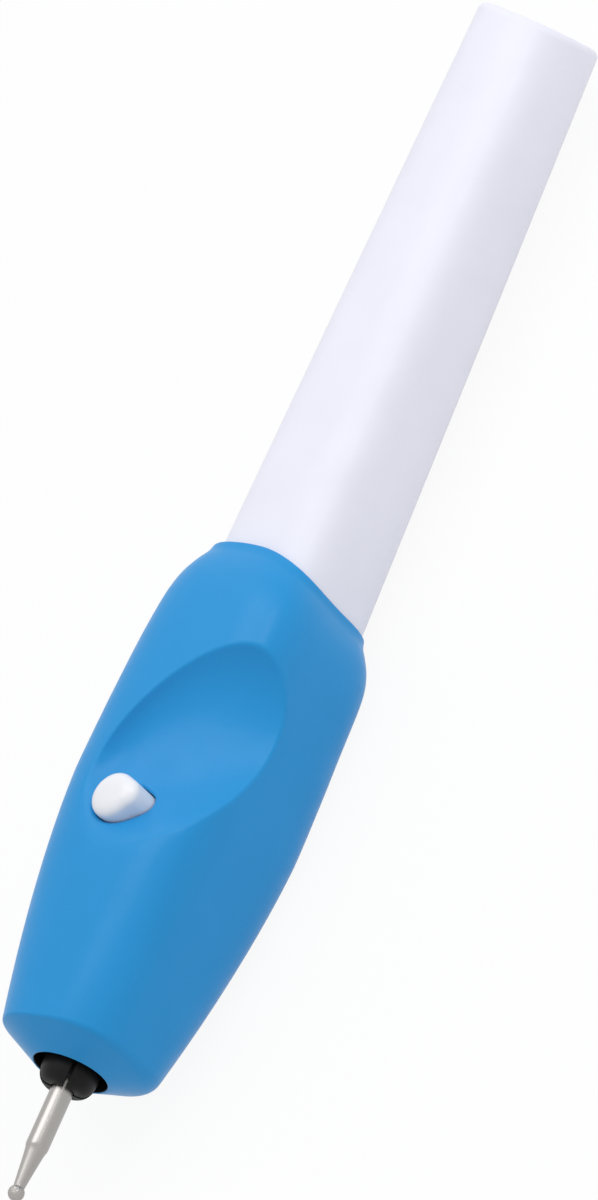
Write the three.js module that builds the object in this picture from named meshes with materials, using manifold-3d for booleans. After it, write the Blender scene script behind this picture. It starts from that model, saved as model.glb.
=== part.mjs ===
// Electric engraving pen, battery driven.
// A blue moulded grip with a thumb dish and a button, a white sleeve over two slim cells,
// a small motor, and a chuck that spins a round engraving burr.
//
// Millimetres. The pen's axis runs along X with the burr at +X, and +Z is the button side.
// Until the last lines every x is measured from the sleeve's tail, and y and z from the axis.

import * as THREE from 'three';
import { mergeVertices } from 'three/addons/utils/BufferGeometryUtils.js';
import Module from 'manifold-3d';

const wasm = await Module();
wasm.setup();

// Clearances
const seatGap = 0.3; // between a piece and what carries it
const slideGap = 0.2; // round the sleeve in its socket
const cellGap = 0.15; // round a cell in its cradle
const runGap = 0.1; // round a turning shaft

// Walls
const sleeveWall = 1.0;
const tailWall = 1.6;
const housingWall = 1.7;
const trayWall = 0.8;
const trayEndWall = 1.3;

// Cells, two in line
const cellCount = 2;
const cellLength = 44.5;
const cellRadius = 5.2;
const cellNubRadius = 1.9;
const cellNubLength = 1.0;

// Battery tray and contacts
const springWire = 0.5;
const springTurns = 2.5;
const springLength = 3.3;
const springFootRadius = 3.4;
const springTopRadius = 2.4;
const contactThickness = 0.4;
const contactPlate = 6.0;
const contactTab = 2.2;
const tabReach = 2.2;
const tabSide = 3.0;
const trayPower = 2.6;
const trayOpenAt = 2.4; // height over the axis where the tray's sides end
const trayFlangeThickness = 1.6;
const snapToothReach = 0.8;
const pushWindowLength = 14;
const pushWindowWidth = 4.5;

// Sleeve. Its section is a superellipse: round at the tail, squarer at the collar
const sleeveFlare = 1.25; // growth of the half width from tail to collar
const sleeveDrop = 0.9; // the middle of the section sinks by this, so the underside has most of the taper
const tailPower = 2.6;
const collarPower = 3.6;
const tailTilt = 0.36; // slope of the oblique tail face, towards the +Y +Z corner
const tailRound = 1.0;
const tailSeat = 0.6; // from the tail wall's inner face to the tray's corner
const tailFade = 16; // length over which the sections straighten up

// Grip housing
const socketDepth = 5.1; // sleeve held inside the collar
const collarBehindContact = 17; // from the collar back to the front of the cells
const lipWall = 0.45;
const lipRound = 0.3;
const lipOffset = 0.18; // the lip is off the sleeve's middle by this, towards -Y and +Z, and thins out opposite
const collarStep = 1.89; // the collar's edge runs forward by this on the low +Y side and back on the other
const collarSharpness = 2; // higher for a shorter way between the two
const collarTurn = THREE.MathUtils.degToRad(-38); // direction of the side that runs forward, from +Y to +Z
const collarFade = 18;
const bulkhead = 1.8;
const shoulderLength = 9.2;
const gripHalf = 12.25;
const gripPower = 4.4;
const widestBeforeButton = 3.8;
const noseHalf = 9.4;
const nosePower = 2.75;
const taperPower = 1.75;
const noseRimBeyondMotor = 8.2;
const noseFaceDepth = 2.8;
const noseLean = 0.027; // the nose's rim runs forward by this per mm towards the +Y -Z corner
const noseRoundCrisp = 0.5; // rounding of the rim at the -Y +Z corner
const noseRoundSoft = 2.2; // and at the corner opposite
const noseGap = 1.2;
const bellyLand = 0.4; // depth of the flat that the pen lies on

// Thumb dish, scooped across the ridge between the top and the +Y side. It is a bowl that hangs
// from its own rim, and the rim is an ellipse seen from the side that the thumb comes from
const dishHalfLength = 15.6;
const dishHalfWidth = 9.1;
const dishDepth = 2.6; // below a film stretched over the rim
const dishSquareness = 3; // power of the bowl's profile, higher for steeper walls
const dishSkew = 0.55; // share by which it is deeper at its -Y side and shallower at the other
const dishSoftness = 1.6; // power of the profile at the button's end, where the rim fades out
const dishBehindButton = 8.2;
const dishSideways = -2.6;
const dishTilt = THREE.MathUtils.degToRad(40); // from +Z towards +Y
const dishTurn = THREE.MathUtils.degToRad(-19.5); // of its length, away from the pen's axis
const dishRimSteps = 40;

// Button and its switch
const buttonBeyondPosts = 11.7;
const buttonSide = -0.15;
const buttonBig = 3.15;
const buttonSmall = 2.2;
const buttonSpread = 1.65;
const buttonTurn = 100; // degrees from +X to the button's narrow end
const buttonTop = 13.2;
const buttonDome = 1.6;
const buttonCrown = 1.45; // from the dome's edge in to its flat crown
const buttonGap = 0.2;
const buttonFlange = 0.7;
const buttonFlangeThickness = 0.8;
const wellWall = 1.1;
const wellBottom = 6.5;
const footRadius = 1.5;
const buttonTravel = 1.2;
const plungerRadius = 1.3;
const plungerStroke = 1.6; // plunger above the switch body at rest
const switchSide = 6.0;
const switchHeight = 3.0;
const boardThickness = 0.9;
const boardLength = 9.0;
const boardHalfWidth = 9.0;

// Motor
const motorBehindButtonGap = 4.3;
const motorRadius = 7.0;
const motorLength = 15.5;
const motorCapLength = 2.2;
const motorWall = 0.6;
const bossRadius = 3.0;
const bossLength = 1.2;
const shaftRadius = 1.0;
const rotorRadius = 5.2;
const cradleRib = 1.4;
const cradleInset = 1.6;
const terminalSpread = 3.2;
const terminalHalfWidth = 1.1;
const terminalHalfThickness = 0.2;
const terminalLength = 3.4;

// Chuck and burr
const chuckRadius = 3.7;
const chuckReach = 2.2; // beyond the nose face
const chuckBehindBoss = 1.6;
const insertRadius = 2.5;
const shaftInChuck = 3.4;
const slotWidth = 0.5;
const slotDepth = 4.2;
const shankRadius = 1.47;
const burrExposed = 15.6;
const burrTaperStart = 8.3; // shank left parallel beyond the chuck
const burrNeckRadius = 0.72;
const burrBallRadius = 1.05;

// Cover and its screws
const coverHalfAngle = 38;
const coverGap = 0.15;
const coverBehindPosts = 8.6;
const coverBeforeRim = 5.5;
const postBeyondTray = 5.6;
const postSide = 5.8;
const postRadius = 2.2;
const postTop = 1.0;
const screwRadius = 1.0;
const screwLength = 7.0;
const headRadius = 1.8;
const headHeight = 1.3;
const headSink = 0.7;
const padThickness = 1.0;
const tongueReach = 3.0;
const tongueHalfWidth = 3.6;
const tongueThickness = 1.2;

// Leads
const leadRadius = 0.6;

// Rounding of the curved forms
const sectionSteps = 40;
const roundSides = 24;
const smallSides = 12;

// Half widths that follow from what lies inside
const trayInner = cellRadius + cellGap;
const trayHalf = trayInner + trayWall;
const trayCorner = trayHalf * 2 ** (0.5 - 1 / trayPower);
const tailHalf = trayHalf + seatGap + sleeveWall;
const collarHalf = tailHalf + sleeveFlare;
const lipHalf = collarHalf + slideGap + lipWall;
const bellyZ = -(gripHalf - bellyLand);
const noseHole = chuckRadius + noseGap;

// Stations along the pen, worked out from the tail forwards
const trayRear = tailWall + tailTilt * trayCorner + tailSeat;
const plateX = trayRear + trayEndWall + seatGap;
const springX = plateX + contactThickness + seatGap;
const cellsX = springX + springLength;
const cellsEnd = cellsX + cellCount * cellLength + (cellCount - 1) * seatGap;
const frontPlateX = cellsEnd + seatGap;
const trayFront = frontPlateX + contactThickness + seatGap + trayEndWall;
const collarX = cellsEnd - collarBehindContact;
const sleeveEnd = collarX + socketDepth;
const flangeX = sleeveEnd + seatGap;
const bulkheadX = flangeX + trayFlangeThickness + seatGap;
const roomX = bulkheadX + bulkhead;
const postX = trayFront + postBeyondTray;
const buttonX = postX + buttonBeyondPosts;
const widestX = buttonX - widestBeforeButton;
const motorRearX = buttonX + motorBehindButtonGap;
const canX = motorRearX + motorCapLength;
const motorFrontX = canX + motorLength;
const bossEndX = motorFrontX + bossLength;
const rimX = motorFrontX + noseRimBeyondMotor;
const noseX = rimX + noseFaceDepth;
const chuckX = bossEndX + chuckBehindBoss;
const chuckEnd = noseX + chuckReach;
const shaftEnd = chuckX + shaftInChuck;
const burrX = shaftEnd + seatGap;
const coverRearX = postX - coverBehindPosts;
const coverFrontX = rimX - coverBeforeRim;
const dishX = buttonX - dishBehindButton;
const boardRear = buttonX - boardLength / 2;
const boardFront = buttonX + boardLength / 2;
const cradleStations = [canX + cradleInset, motorFrontX - cradleInset - 2];
const tabEnd = trayFront + tabReach;

// Heights under the button, from its well down to the switch board
const flangeTop = wellBottom - seatGap;
const flangeBottom = flangeTop - buttonFlangeThickness;
const footZ = flangeBottom - seatGap;
const plungerTop = footZ - seatGap;
const switchTopZ = plungerTop - plungerStroke;
const boardTopZ = switchTopZ - switchHeight - seatGap;
const boardBottomZ = boardTopZ - boardThickness;

// The motor's terminals stand in its cap's spigot, their outer corners a gap inside its edge
const spigotRadius = motorRadius - motorWall - 0.1;
const terminalCorner = Math.sqrt((spigotRadius - seatGap) ** 2 - (terminalSpread + terminalHalfWidth) ** 2);
const terminalZ = -(terminalCorner - terminalHalfThickness);

// Heights of the cover screws' heads and of the pads that they pull on
const headBottomZ = bellyZ + headSink;
const headTopZ = headBottomZ + headHeight;
const padTopZ = headTopZ + seatGap + padThickness;

// Solids from three.js geometry. Faces are turned outwards and empty triangles dropped.

function toSolid(geometry) {
  const bare = geometry.clone();
  bare.deleteAttribute('normal');
  bare.deleteAttribute('uv');
  const merged = mergeVertices(bare, 1e-5);
  const position = merged.attributes.position;
  const index = merged.index.array;
  const corner = [new THREE.Vector3(), new THREE.Vector3(), new THREE.Vector3()];
  const triangles = [];
  let sixVolumes = 0;
  for (let i = 0; i < index.length; i += 3) {
    const [a, b, c] = [index[i], index[i + 1], index[i + 2]];
    if (a === b || b === c || c === a) continue;
    triangles.push([a, b, c]);
    [a, b, c].forEach((vertex, k) => corner[k].fromBufferAttribute(position, vertex));
    sixVolumes += corner[0].dot(corner[1].cross(corner[2]));
  }
  const outward = sixVolumes > 0 ? triangles : triangles.map(([a, b, c]) => [a, c, b]);
  return new wasm.Manifold(new wasm.Mesh({
    numProp: 3,
    vertProperties: Float32Array.from(position.array),
    triVerts: Uint32Array.from(outward.flat()),
  }));
}

function toGeometry(solid) {
  const mesh = solid.getMesh();
  const geometry = new THREE.BufferGeometry();
  geometry.setAttribute('position', new THREE.BufferAttribute(Float32Array.from(mesh.vertProperties), 3));
  geometry.setIndex(new THREE.BufferAttribute(Uint32Array.from(mesh.triVerts), 1));
  geometry.computeVertexNormals();
  return geometry;
}

function join(...solids) {
  return solids.reduce((whole, piece) => whole.add(piece));
}

function cut(solid, ...tools) {
  return tools.reduce((rest, tool) => rest.subtract(tool), solid);
}

function block(x0, x1, y0, y1, z0, z1) {
  const geometry = new THREE.BoxGeometry(x1 - x0, y1 - y0, z1 - z0);
  return toSolid(geometry.translate((x0 + x1) / 2, (y0 + y1) / 2, (z0 + z1) / 2));
}

// A round bar along X
function bar(radius, x0, x1, y = 0, z = 0, sides = roundSides) {
  const geometry = new THREE.CylinderGeometry(radius, radius, x1 - x0, sides);
  return toSolid(geometry.rotateZ(-Math.PI / 2).translate((x0 + x1) / 2, y, z));
}

// A round post along Z
function post(radius, z0, z1, x, y, sides = smallSides) {
  const geometry = new THREE.CylinderGeometry(radius, radius, z1 - z0, sides);
  return toSolid(geometry.rotateX(Math.PI / 2).translate(x, y, (z0 + z1) / 2));
}

// A profile of [x, radius] pairs turned about the pen's axis
function revolve(profile, sides = roundSides) {
  const outline = profile.map(([x, radius]) => new THREE.Vector2(radius, x));
  return toSolid(new THREE.LatheGeometry(outline, sides).rotateZ(-Math.PI / 2));
}

// A skin through rings of points, closed by a fan at each end
function loft(rings) {
  const count = rings[0].length;
  const points = rings.flat();
  const index = [];
  for (let ring = 0; ring + 1 < rings.length; ring += 1) {
    for (let i = 0; i < count; i += 1) {
      const next = (i + 1) % count;
      const low = ring * count;
      const high = low + count;
      index.push(low + i, low + next, high + next, low + i, high + next, high + i);
    }
  }
  for (const [ring, flip] of [[0, true], [rings.length - 1, false]]) {
    const centre = new THREE.Vector3();
    rings[ring].forEach((point) => centre.addScaledVector(point, 1 / count));
    points.push(centre);
    for (let i = 0; i < count; i += 1) {
      const a = ring * count + i;
      const b = ring * count + (i + 1) % count;
      index.push(...(flip ? [points.length - 1, b, a] : [points.length - 1, a, b]));
    }
  }
  const geometry = new THREE.BufferGeometry().setFromPoints(points);
  return toSolid(geometry.setIndex(index));
}

// A wire or lead: a round section carried along a smooth curve
function lead(points, radius, steps) {
  const curve = new THREE.CatmullRomCurve3(points.map((p) => new THREE.Vector3(...p)), false, 'centripetal');
  const section = new THREE.Shape();
  section.absarc(0, 0, radius, 0, 2 * Math.PI);
  const geometry = new THREE.ExtrudeGeometry(section, { extrudePath: curve, steps, curveSegments: 4 });
  return toSolid(geometry);
}

const level = () => 0;

// Superellipse |y/half|^power + |z/half|^power = 1, as a ring whose x shifts with y and z,
// moved off the axis by an offset in y and z
function section(x, half, power, shift = level, offset = [0, 0], steps = sectionSteps) {
  const ring = [];
  for (let i = 0; i < steps; i += 1) {
    const angle = (2 * Math.PI * i) / steps;
    const [c, s] = [Math.cos(angle), Math.sin(angle)];
    const reach = half / (Math.abs(c) ** power + Math.abs(s) ** power) ** (1 / power);
    const [y, z] = [reach * c, reach * s];
    ring.push(new THREE.Vector3(x + shift(y, z), y + offset[0], z + offset[1]));
  }
  return ring;
}

function mix(a, b, t) {
  return a + (b - a) * t;
}

function fade(t) {
  return 1 - THREE.MathUtils.smoothstep(t, 0, 1);
}

// Stations spread evenly from one x to another, both included
function spread(from, to, steps) {
  return Array.from({ length: steps + 1 }, (_, i) => mix(from, to, i / steps));
}

// Sleeve form

// The sleeve's section, grown or inset, with the tail's lean faded out along it
function sleeveSection(x, grow) {
  const t = x / collarX;
  const slope = (tailTilt / Math.SQRT2) * fade(x / tailFade);
  const half = mix(tailHalf, collarHalf, t) + grow;
  return section(x, half, mix(tailPower, collarPower, t), (y, z) => slope * (y + z), [0, -sleeveDrop * t]);
}

function sleeve() {
  const tailEdge = [[0, tailRound], [0.3 * tailRound, 0.3 * tailRound], [tailRound, 0]];
  const outside = loft([
    ...tailEdge.map(([x, inset]) => sleeveSection(x, -inset)),
    ...spread(0.4 * tailFade, tailFade, 3).map((x) => sleeveSection(x, 0)),
    sleeveSection(collarX / 2, 0),
    sleeveSection(sleeveEnd, 0),
  ]);
  const inside = loft([
    ...spread(tailWall, tailFade, 4).map((x) => sleeveSection(x, -sleeveWall)),
    sleeveSection(collarX / 2, -sleeveWall),
    sleeveSection(sleeveEnd + 1, -sleeveWall),
  ]);
  return cut(outside, inside);
}

// Grip form: half width and squareness of the section at x

const shoulderRise = gripHalf - lipHalf;
const shoulderPoints = [
  [0, 0],
  [0.12, 0.09],
  [0.25, 0.29],
  [0.37, 0.46],
  [0.5, 0.605],
  [0.66, 0.72],
  [0.84, 0.79],
  [1.1, 0.83],
  [1.86, 0.878],
  [2.6, 0.95],
];

function gripHalfAt(x) {
  if (x > widestX) return gripHalf - (gripHalf - noseHalf) * ((x - widestX) / (rimX - widestX)) ** taperPower;
  const along = Math.max(0, (x - collarX) / shoulderLength);
  const points = [...shoulderPoints, [(widestX - collarX) / shoulderLength, 1]];
  const next = Math.max(1, points.findIndex(([t]) => t >= along));
  const [[t0, rise0], [t1, rise1]] = [points[next - 1], points[next]];
  return lipHalf + shoulderRise * mix(rise0, rise1, (along - t0) / (t1 - t0));
}

function gripPowerAt(x) {
  if (x > widestX) return mix(gripPower, nosePower, Math.min(1, (x - widestX) / (rimX - widestX)));
  return mix(collarPower, gripPower, THREE.MathUtils.smoothstep(x, collarX, collarX + 2 * shoulderLength));
}

// How much of the collar's wave and offset is left at x
function collarShare(x) {
  return fade((x - collarX) / collarFade);
}

function gripOffset(x) {
  const share = collarShare(x);
  return [-lipOffset * share, (lipOffset - sleeveDrop) * share];
}

// How far forward the collar's edge runs at a place round the section
function collarWave(y, z) {
  return collarStep * Math.tanh(collarSharpness * Math.cos(Math.atan2(z, y) - collarTurn));
}

function gripSection(x, inset) {
  const share = collarShare(x);
  const lean = noseLean * THREE.MathUtils.smoothstep(x, widestX, rimX);
  const shift = (y, z) => share * collarWave(y, z) + lean * (y - z);
  return section(x, gripHalfAt(x) - inset, gripPowerAt(x), shift, gripOffset(x));
}

// A ring of the rim's rounding. Each point comes from a section as far ahead and as far in as its radius asks
function noseRing(turn) {
  return gripSection(rimX, 0).map(({ y, z }, i) => {
    const soft = (1 + Math.cos(Math.atan2(z, y) + Math.PI / 4)) / 2;
    const round = mix(noseRoundCrisp, noseRoundSoft, soft * soft);
    return gripSection(rimX + round * (Math.sin(turn) - 0.6), round * (1 - Math.cos(turn)))[i];
  });
}

function gripOutside() {
  const lip = gripSection(collarX, lipRound);
  const shoulder = shoulderPoints.map(([t]) => (
    gripSection(collarX + lipRound + t * (shoulderLength - lipRound), 0)));
  const taper = spread(widestX, rimX - noseRoundSoft, 8).map((x) => gripSection(x, 0));
  const noseEdge = spread(0, Math.PI / 3, 3).map(noseRing);
  const noseFace = section(noseX, noseHole - 0.5, 2);
  return loft([lip, ...shoulder, ...taper, ...noseEdge, noseFace]);
}

// The room inside the grip, inset from its outside
function gripRoom(inset, from = roomX, to = rimX - 1.4) {
  const rings = spread(from, widestX, 4).concat(spread(widestX, to, 5).slice(1));
  return loft(rings.map((x) => section(x, gripHalfAt(x) - inset, gripPowerAt(x), level, gripOffset(x))));
}

// Thumb dish. up, along and across are its own axes, and height is measured along up

const dishUp = new THREE.Vector3(0, Math.sin(dishTilt), Math.cos(dishTilt));
const dishSide = new THREE.Vector3(0, Math.cos(dishTilt), -Math.sin(dishTilt));
const dishAlong = new THREE.Vector3(Math.cos(dishTurn), 0, 0).addScaledVector(dishSide, Math.sin(dishTurn));
const dishAcross = dishUp.clone().cross(dishAlong);
const dishFoot = new THREE.Vector3(dishX, 0, 0).addScaledVector(dishSide, dishSideways);

function dishPoint(r, angle, height, grow = 0) {
  return dishFoot.clone()
    .addScaledVector(dishAlong, r * (dishHalfLength + grow) * Math.cos(angle))
    .addScaledVector(dishAcross, r * (dishHalfWidth + grow) * Math.sin(angle))
    .addScaledVector(dishUp, height);
}

// Height at which the grip's outside is met over a point of the rim, found by halving
function rimHeight(angle) {
  let [low, high] = [0, 2 * gripHalf];
  for (let i = 0; i < 40; i += 1) {
    const middle = (low + high) / 2;
    const { x, y, z } = dishPoint(1, angle, middle);
    const power = gripPowerAt(x);
    const inside = Math.abs(y) ** power + Math.abs(z) ** power < gripHalfAt(x) ** power;
    [low, high] = inside ? [middle, high] : [low, middle];
  }
  return low;
}

// Film over the rim: each wave of the rim's height fades towards the middle by its own power of r
function filmHeights() {
  const angles = spread(0, 2 * Math.PI, dishRimSteps).slice(0, dishRimSteps);
  const rim = angles.map(rimHeight);
  const mean = rim.reduce((sum, height) => sum + height / dishRimSteps, 0);
  const share = 2 / dishRimSteps;
  const waves = [1, 2, 3, 4, 5, 6].map((wave) => [Math.cos, Math.sin].map((shape) => (
    rim.reduce((sum, height, i) => sum + share * height * shape(wave * angles[i]), 0))));
  return (r, angle) => waves.reduce((sum, [c, s], i) => (
    sum + r ** (i + 1) * (c * Math.cos((i + 1) * angle) + s * Math.sin((i + 1) * angle))
  ), mean);
}

// Depth below the film: steep walls all round but for the button's end, where the floor rises softly
function bowlDepth(r, angle) {
  const softShare = THREE.MathUtils.smoothstep(r * Math.cos(angle), 0.1, 0.9);
  const profile = mix(1 - r ** dishSquareness, (1 - r * r) ** dishSoftness, softShare);
  return dishDepth * profile * (1 - dishSkew * r * Math.sin(angle));
}

// The space that the dish takes, grown by a wall where asked
function dishTool(grow) {
  const film = filmHeights();
  const angles = spread(0, 2 * Math.PI, dishRimSteps).slice(0, dishRimSteps);
  const bowl = [0.02, 0.25, 0.45, 0.62, 0.76, 0.88, 1].map((r) => angles.map((angle) => (
    dishPoint(r, angle, film(r, angle) - bowlDepth(r, angle) - grow, grow)
  )));
  const wall = angles.map((angle) => dishPoint(1.1, angle, film(1, angle) + 2, grow));
  const top = angles.map((angle) => dishPoint(1.1, angle, 2 * gripHalf, grow));
  return loft([...bowl, wall, top]);
}

// Wedge of the grip's underside that the cover fills, less a gap all round
function coverWedge(gap) {
  const slope = Math.tan(THREE.MathUtils.degToRad(coverHalfAngle));
  const depth = gripHalf + 2;
  const side = gap / Math.cos(THREE.MathUtils.degToRad(coverHalfAngle));
  const outline = new THREE.Shape();
  outline.moveTo(0, -side / slope);
  outline.lineTo(depth * slope - side, -depth);
  outline.lineTo(-depth * slope + side, -depth);
  const length = coverFrontX - coverRearX - 2 * gap;
  const geometry = new THREE.ExtrudeGeometry(outline, { depth: length, bevelEnabled: false });
  geometry.rotateX(Math.PI / 2).rotateZ(Math.PI / 2);
  return toSolid(geometry.translate(coverRearX + gap, 0, 0));
}

// Button outline: two round ends joined by their tangents, as a ring at height z
function buttonRing(z, grow) {
  const tangent = Math.acos((buttonBig - buttonSmall) / buttonSpread);
  const turn = THREE.MathUtils.degToRad(buttonTurn);
  const ring = [];
  for (const [radius, shift, from, to, steps] of [
    [buttonBig, -buttonSpread / 2, tangent, 2 * Math.PI - tangent, 14],
    [buttonSmall, buttonSpread / 2, -tangent, tangent, 8],
  ]) {
    for (const angle of spread(from, to, steps)) {
      const along = shift + (radius + grow) * Math.cos(angle);
      const across = (radius + grow) * Math.sin(angle);
      const x = buttonX + along * Math.cos(turn) - across * Math.sin(turn);
      const y = buttonSide + along * Math.sin(turn) + across * Math.cos(turn);
      ring.push(new THREE.Vector3(x, y, z));
    }
  }
  return ring;
}

function buttonPrism(grow, z0, z1) {
  return loft([buttonRing(z0, grow), buttonRing(z1, grow)]);
}

// Grip housing, open below where the cover goes

// A rib across the room, down to a given height, with a round seat that stays open downwards
function seatRib(x0, x1, radius, bottom = -gripHalf) {
  const plate = block(x0, x1, -gripHalf, gripHalf, bottom, gripHalf);
  return cut(plate, bar(radius, x0 - 1, x1 + 1), block(x0 - 1, x1 + 1, -radius, radius, -gripHalf - 1, 0));
}

// A ledge that stands in from a side wall to a given distance from the axis
function sideLedge(x0, x1, side, near, z0, z1) {
  return side > 0 ? block(x0, x1, near, gripHalf, z0, z1) : block(x0, x1, -gripHalf, -near, z0, z1);
}

function screwPost(side) {
  const bottom = padTopZ + seatGap;
  const shaft = post(postRadius, bottom, postTop, postX, side * postSide);
  return join(shaft, sideLedge(postX - 0.7, postX + 0.7, side, postSide, bottom, postTop));
}

function gripHousing() {
  const socket = loft([collarX - 8, collarX, bulkheadX].map((x) => sleeveSection(x, slideGap)));
  const trayHole = loft([bulkheadX - 1, roomX + 1].map((x) => section(x, trayHalf + seatGap, trayPower)));
  const ribs = [
    ...cradleStations.map((x) => seatRib(x, x + cradleRib, motorRadius + seatGap)),
    seatRib(motorFrontX + seatGap, bossEndX + 0.4, bossRadius + seatGap, -bossRadius - 1),
    screwPost(1),
    screwPost(-1),
    buttonPrism(buttonGap + wellWall, wellBottom, gripHalf),
    ...[1, -1].map((side) => sideLedge(boardRear, boardFront, side, boardHalfWidth - 1.2,
      boardTopZ + seatGap, boardTopZ + 1.6)),
    ...[1, -1].map((side) => sideLedge(motorRearX - 1.6, motorRearX - seatGap, side, motorRadius - 1.2, -6,
      boardBottomZ - seatGap)),
  ];
  const room = cut(gripRoom(housingWall), dishTool(housingWall), ...ribs);
  const coverRoom = gripRoom(housingWall + seatGap, coverRearX - 2, coverFrontX + 2);
  return cut(
    gripOutside(),
    dishTool(0),
    socket,
    trayHole,
    room,
    cut(coverWedge(-coverGap), coverRoom),
    bar(noseHole, rimX - 3, noseX + 1),
    buttonPrism(buttonGap, 4, gripHalf + 2),
    ...[1, -1].map((side) => post(screwRadius + runGap, -gripHalf, postTop - 1.4, postX, side * postSide)),
    block(collarX, coverFrontX, -gripHalf, gripHalf, -gripHalf - 1, bellyZ),
  );
}

// Belly cover: a shallow trough with the flat that the pen lies on

function bellyCover() {
  const shell = cut(gripOutside(), gripRoom(housingWall, coverRearX - 2, coverFrontX + 2));
  const inner = gripRoom(housingWall - 0.6, coverRearX - 2, coverFrontX + 2);
  const cradles = cradleStations.map((x) => {
    const rib = block(x, x + cradleRib, -motorRadius + 0.6, motorRadius - 0.6, -gripHalf, -1.5);
    return cut(rib, bar(motorRadius + seatGap, x - 1, x + cradleRib + 1));
  });
  const props = [1, -1].map((side) => post(1.3, -gripHalf, boardBottomZ - seatGap, buttonX, side * 6.2));
  const pads = [1, -1].map((side) => post(headRadius + 1.0, -gripHalf, padTopZ, postX, side * postSide));
  const tongueZ = -(gripHalfAt(coverFrontX + tongueReach) - housingWall - seatGap);
  const tongue = join(
    block(motorFrontX + seatGap, coverFrontX + tongueReach - seatGap, -tongueHalfWidth, tongueHalfWidth,
      tongueZ, tongueZ + tongueThickness),
    block(motorFrontX + seatGap, coverFrontX - 2 * coverGap, -tongueHalfWidth, tongueHalfWidth,
      -gripHalf, tongueZ + 0.5),
  );
  const free = gripRoom(housingWall + seatGap, coverRearX - 2, coverFrontX + tongueReach);
  const trimmed = join(...cradles, ...props, ...pads, tongue).intersect(
    join(free, inner.intersect(coverWedge(coverGap))));
  return cut(
    join(shell.intersect(coverWedge(coverGap)), trimmed),
    block(coverRearX - 2, coverFrontX + 6, -gripHalf, gripHalf, -gripHalf - 1, bellyZ),
    ...[1, -1].map((side) => post(headRadius + seatGap, -gripHalf - 1, headTopZ + seatGap,
      postX, side * postSide)),
    ...[1, -1].map((side) => post(screwRadius + runGap, -gripHalf, 0, postX, side * postSide)),
  );
}

function coverScrew(side) {
  const y = side * postSide;
  const head = post(headRadius, headBottomZ, headTopZ, postX, y, 16);
  const shank = post(screwRadius, headBottomZ, headTopZ + screwLength, postX, y);
  const slots = [
    block(postX - 1.1, postX + 1.1, y - 0.25, y + 0.25, headBottomZ - 1, headBottomZ + 0.6),
    block(postX - 0.25, postX + 0.25, y - 1.1, y + 1.1, headBottomZ - 1, headBottomZ + 0.6),
  ];
  return cut(join(head, shank), ...slots);
}

// Battery tray: a cradle open upwards, with a flange against the bulkhead and two snap teeth

const stripAngle = (5 * Math.PI) / 4; // the tray's lower corner on the -Y side
const stripRadius = trayInner + 0.95;

// A flat bar along X at a given distance from the axis, turned to the strip's corner
function cornerBar(x0, x1, near, far, width) {
  const geometry = new THREE.BoxGeometry(x1 - x0, far - near, width);
  geometry.translate((x0 + x1) / 2, (near + far) / 2, 0);
  return toSolid(geometry.rotateX(stripAngle));
}

function batteryTray() {
  const body = loft([section(trayRear, trayHalf, trayPower), section(trayFront, trayHalf, trayPower)]);
  const flangeEnds = [flangeX, flangeX + trayFlangeThickness];
  const flange = loft(flangeEnds.map((x) => sleeveSection(x, slideGap - seatGap)));
  const teeth = [1, -1].map((side) => {
    const tooth = new THREE.Shape();
    tooth.moveTo(roomX + seatGap, 0);
    tooth.lineTo(roomX + seatGap, trayHalf + snapToothReach);
    tooth.lineTo(roomX + seatGap + 2.4, trayHalf - 0.4);
    tooth.lineTo(roomX + seatGap + 2.4, 0);
    const geometry = new THREE.ExtrudeGeometry(tooth, { depth: 3, bevelEnabled: false });
    return toSolid(geometry.translate(0, 0, -2.2).scale(1, side, 1));
  });
  const cradleX = [trayRear + trayEndWall, trayFront - trayEndWall];
  const windows = spread(0, cellCount - 1, cellCount - 1).map((i) => {
    const middle = cellsX + (i + 0.5) * cellLength;
    return block(middle - pushWindowLength / 2, middle + pushWindowLength / 2,
      -pushWindowWidth / 2, pushWindowWidth / 2, -trayHalf - 1, 0);
  });
  return cut(
    join(body, flange, ...teeth),
    bar(trayInner, cradleX[0], cradleX[1], 0, 0, 32),
    block(cradleX[0], cradleX[1], -trayInner, trayInner, 0, gripHalf),
    block(cradleX[0], cradleX[1], -gripHalf, gripHalf, trayOpenAt, gripHalf),
    cornerBar(trayRear - 1, trayFront + 1, stripRadius - 0.25, stripRadius + contactThickness + 0.25,
      contactTab + 0.6),
    cornerBar(cradleX[0], plateX + contactThickness + seatGap, trayInner - 1, trayHalf + 2, contactTab + 0.6),
    block(trayFront - trayEndWall - 1, trayFront + 1, tabSide - contactTab / 2 - 0.25,
      tabSide + contactTab / 2 + 0.25, -0.25, contactThickness + 0.25),
    ...windows,
  );
}

function cell(index) {
  const x = cellsX + index * (cellLength + seatGap);
  const shoulder = x + cellLength - cellNubLength;
  return revolve([
    [x, 0],
    [x, cellRadius - 0.5],
    [x + 0.3, cellRadius],
    [shoulder - 0.4, cellRadius],
    [shoulder, cellRadius - 0.6],
    [shoulder, cellNubRadius],
    [x + cellLength, cellNubRadius - 0.1],
    [x + cellLength, 0],
  ]);
}

function frontContact() {
  const half = contactPlate / 2;
  const plate = block(frontPlateX, frontPlateX + contactThickness, -half, half, -half, half);
  const tab = block(frontPlateX, trayFront + tabReach, tabSide - contactTab / 2, tabSide + contactTab / 2,
    0, contactThickness);
  return join(plate, tab);
}

function returnStrip() {
  const half = contactPlate / 2;
  const plate = block(plateX, plateX + contactThickness, -half, half, -half, half);
  const far = stripRadius + contactThickness;
  const leg = cornerBar(plateX, plateX + contactThickness, 0, far, contactTab);
  const strip = cornerBar(plateX, trayFront + tabReach, stripRadius, far, contactTab);
  return join(plate, leg, strip);
}

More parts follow.
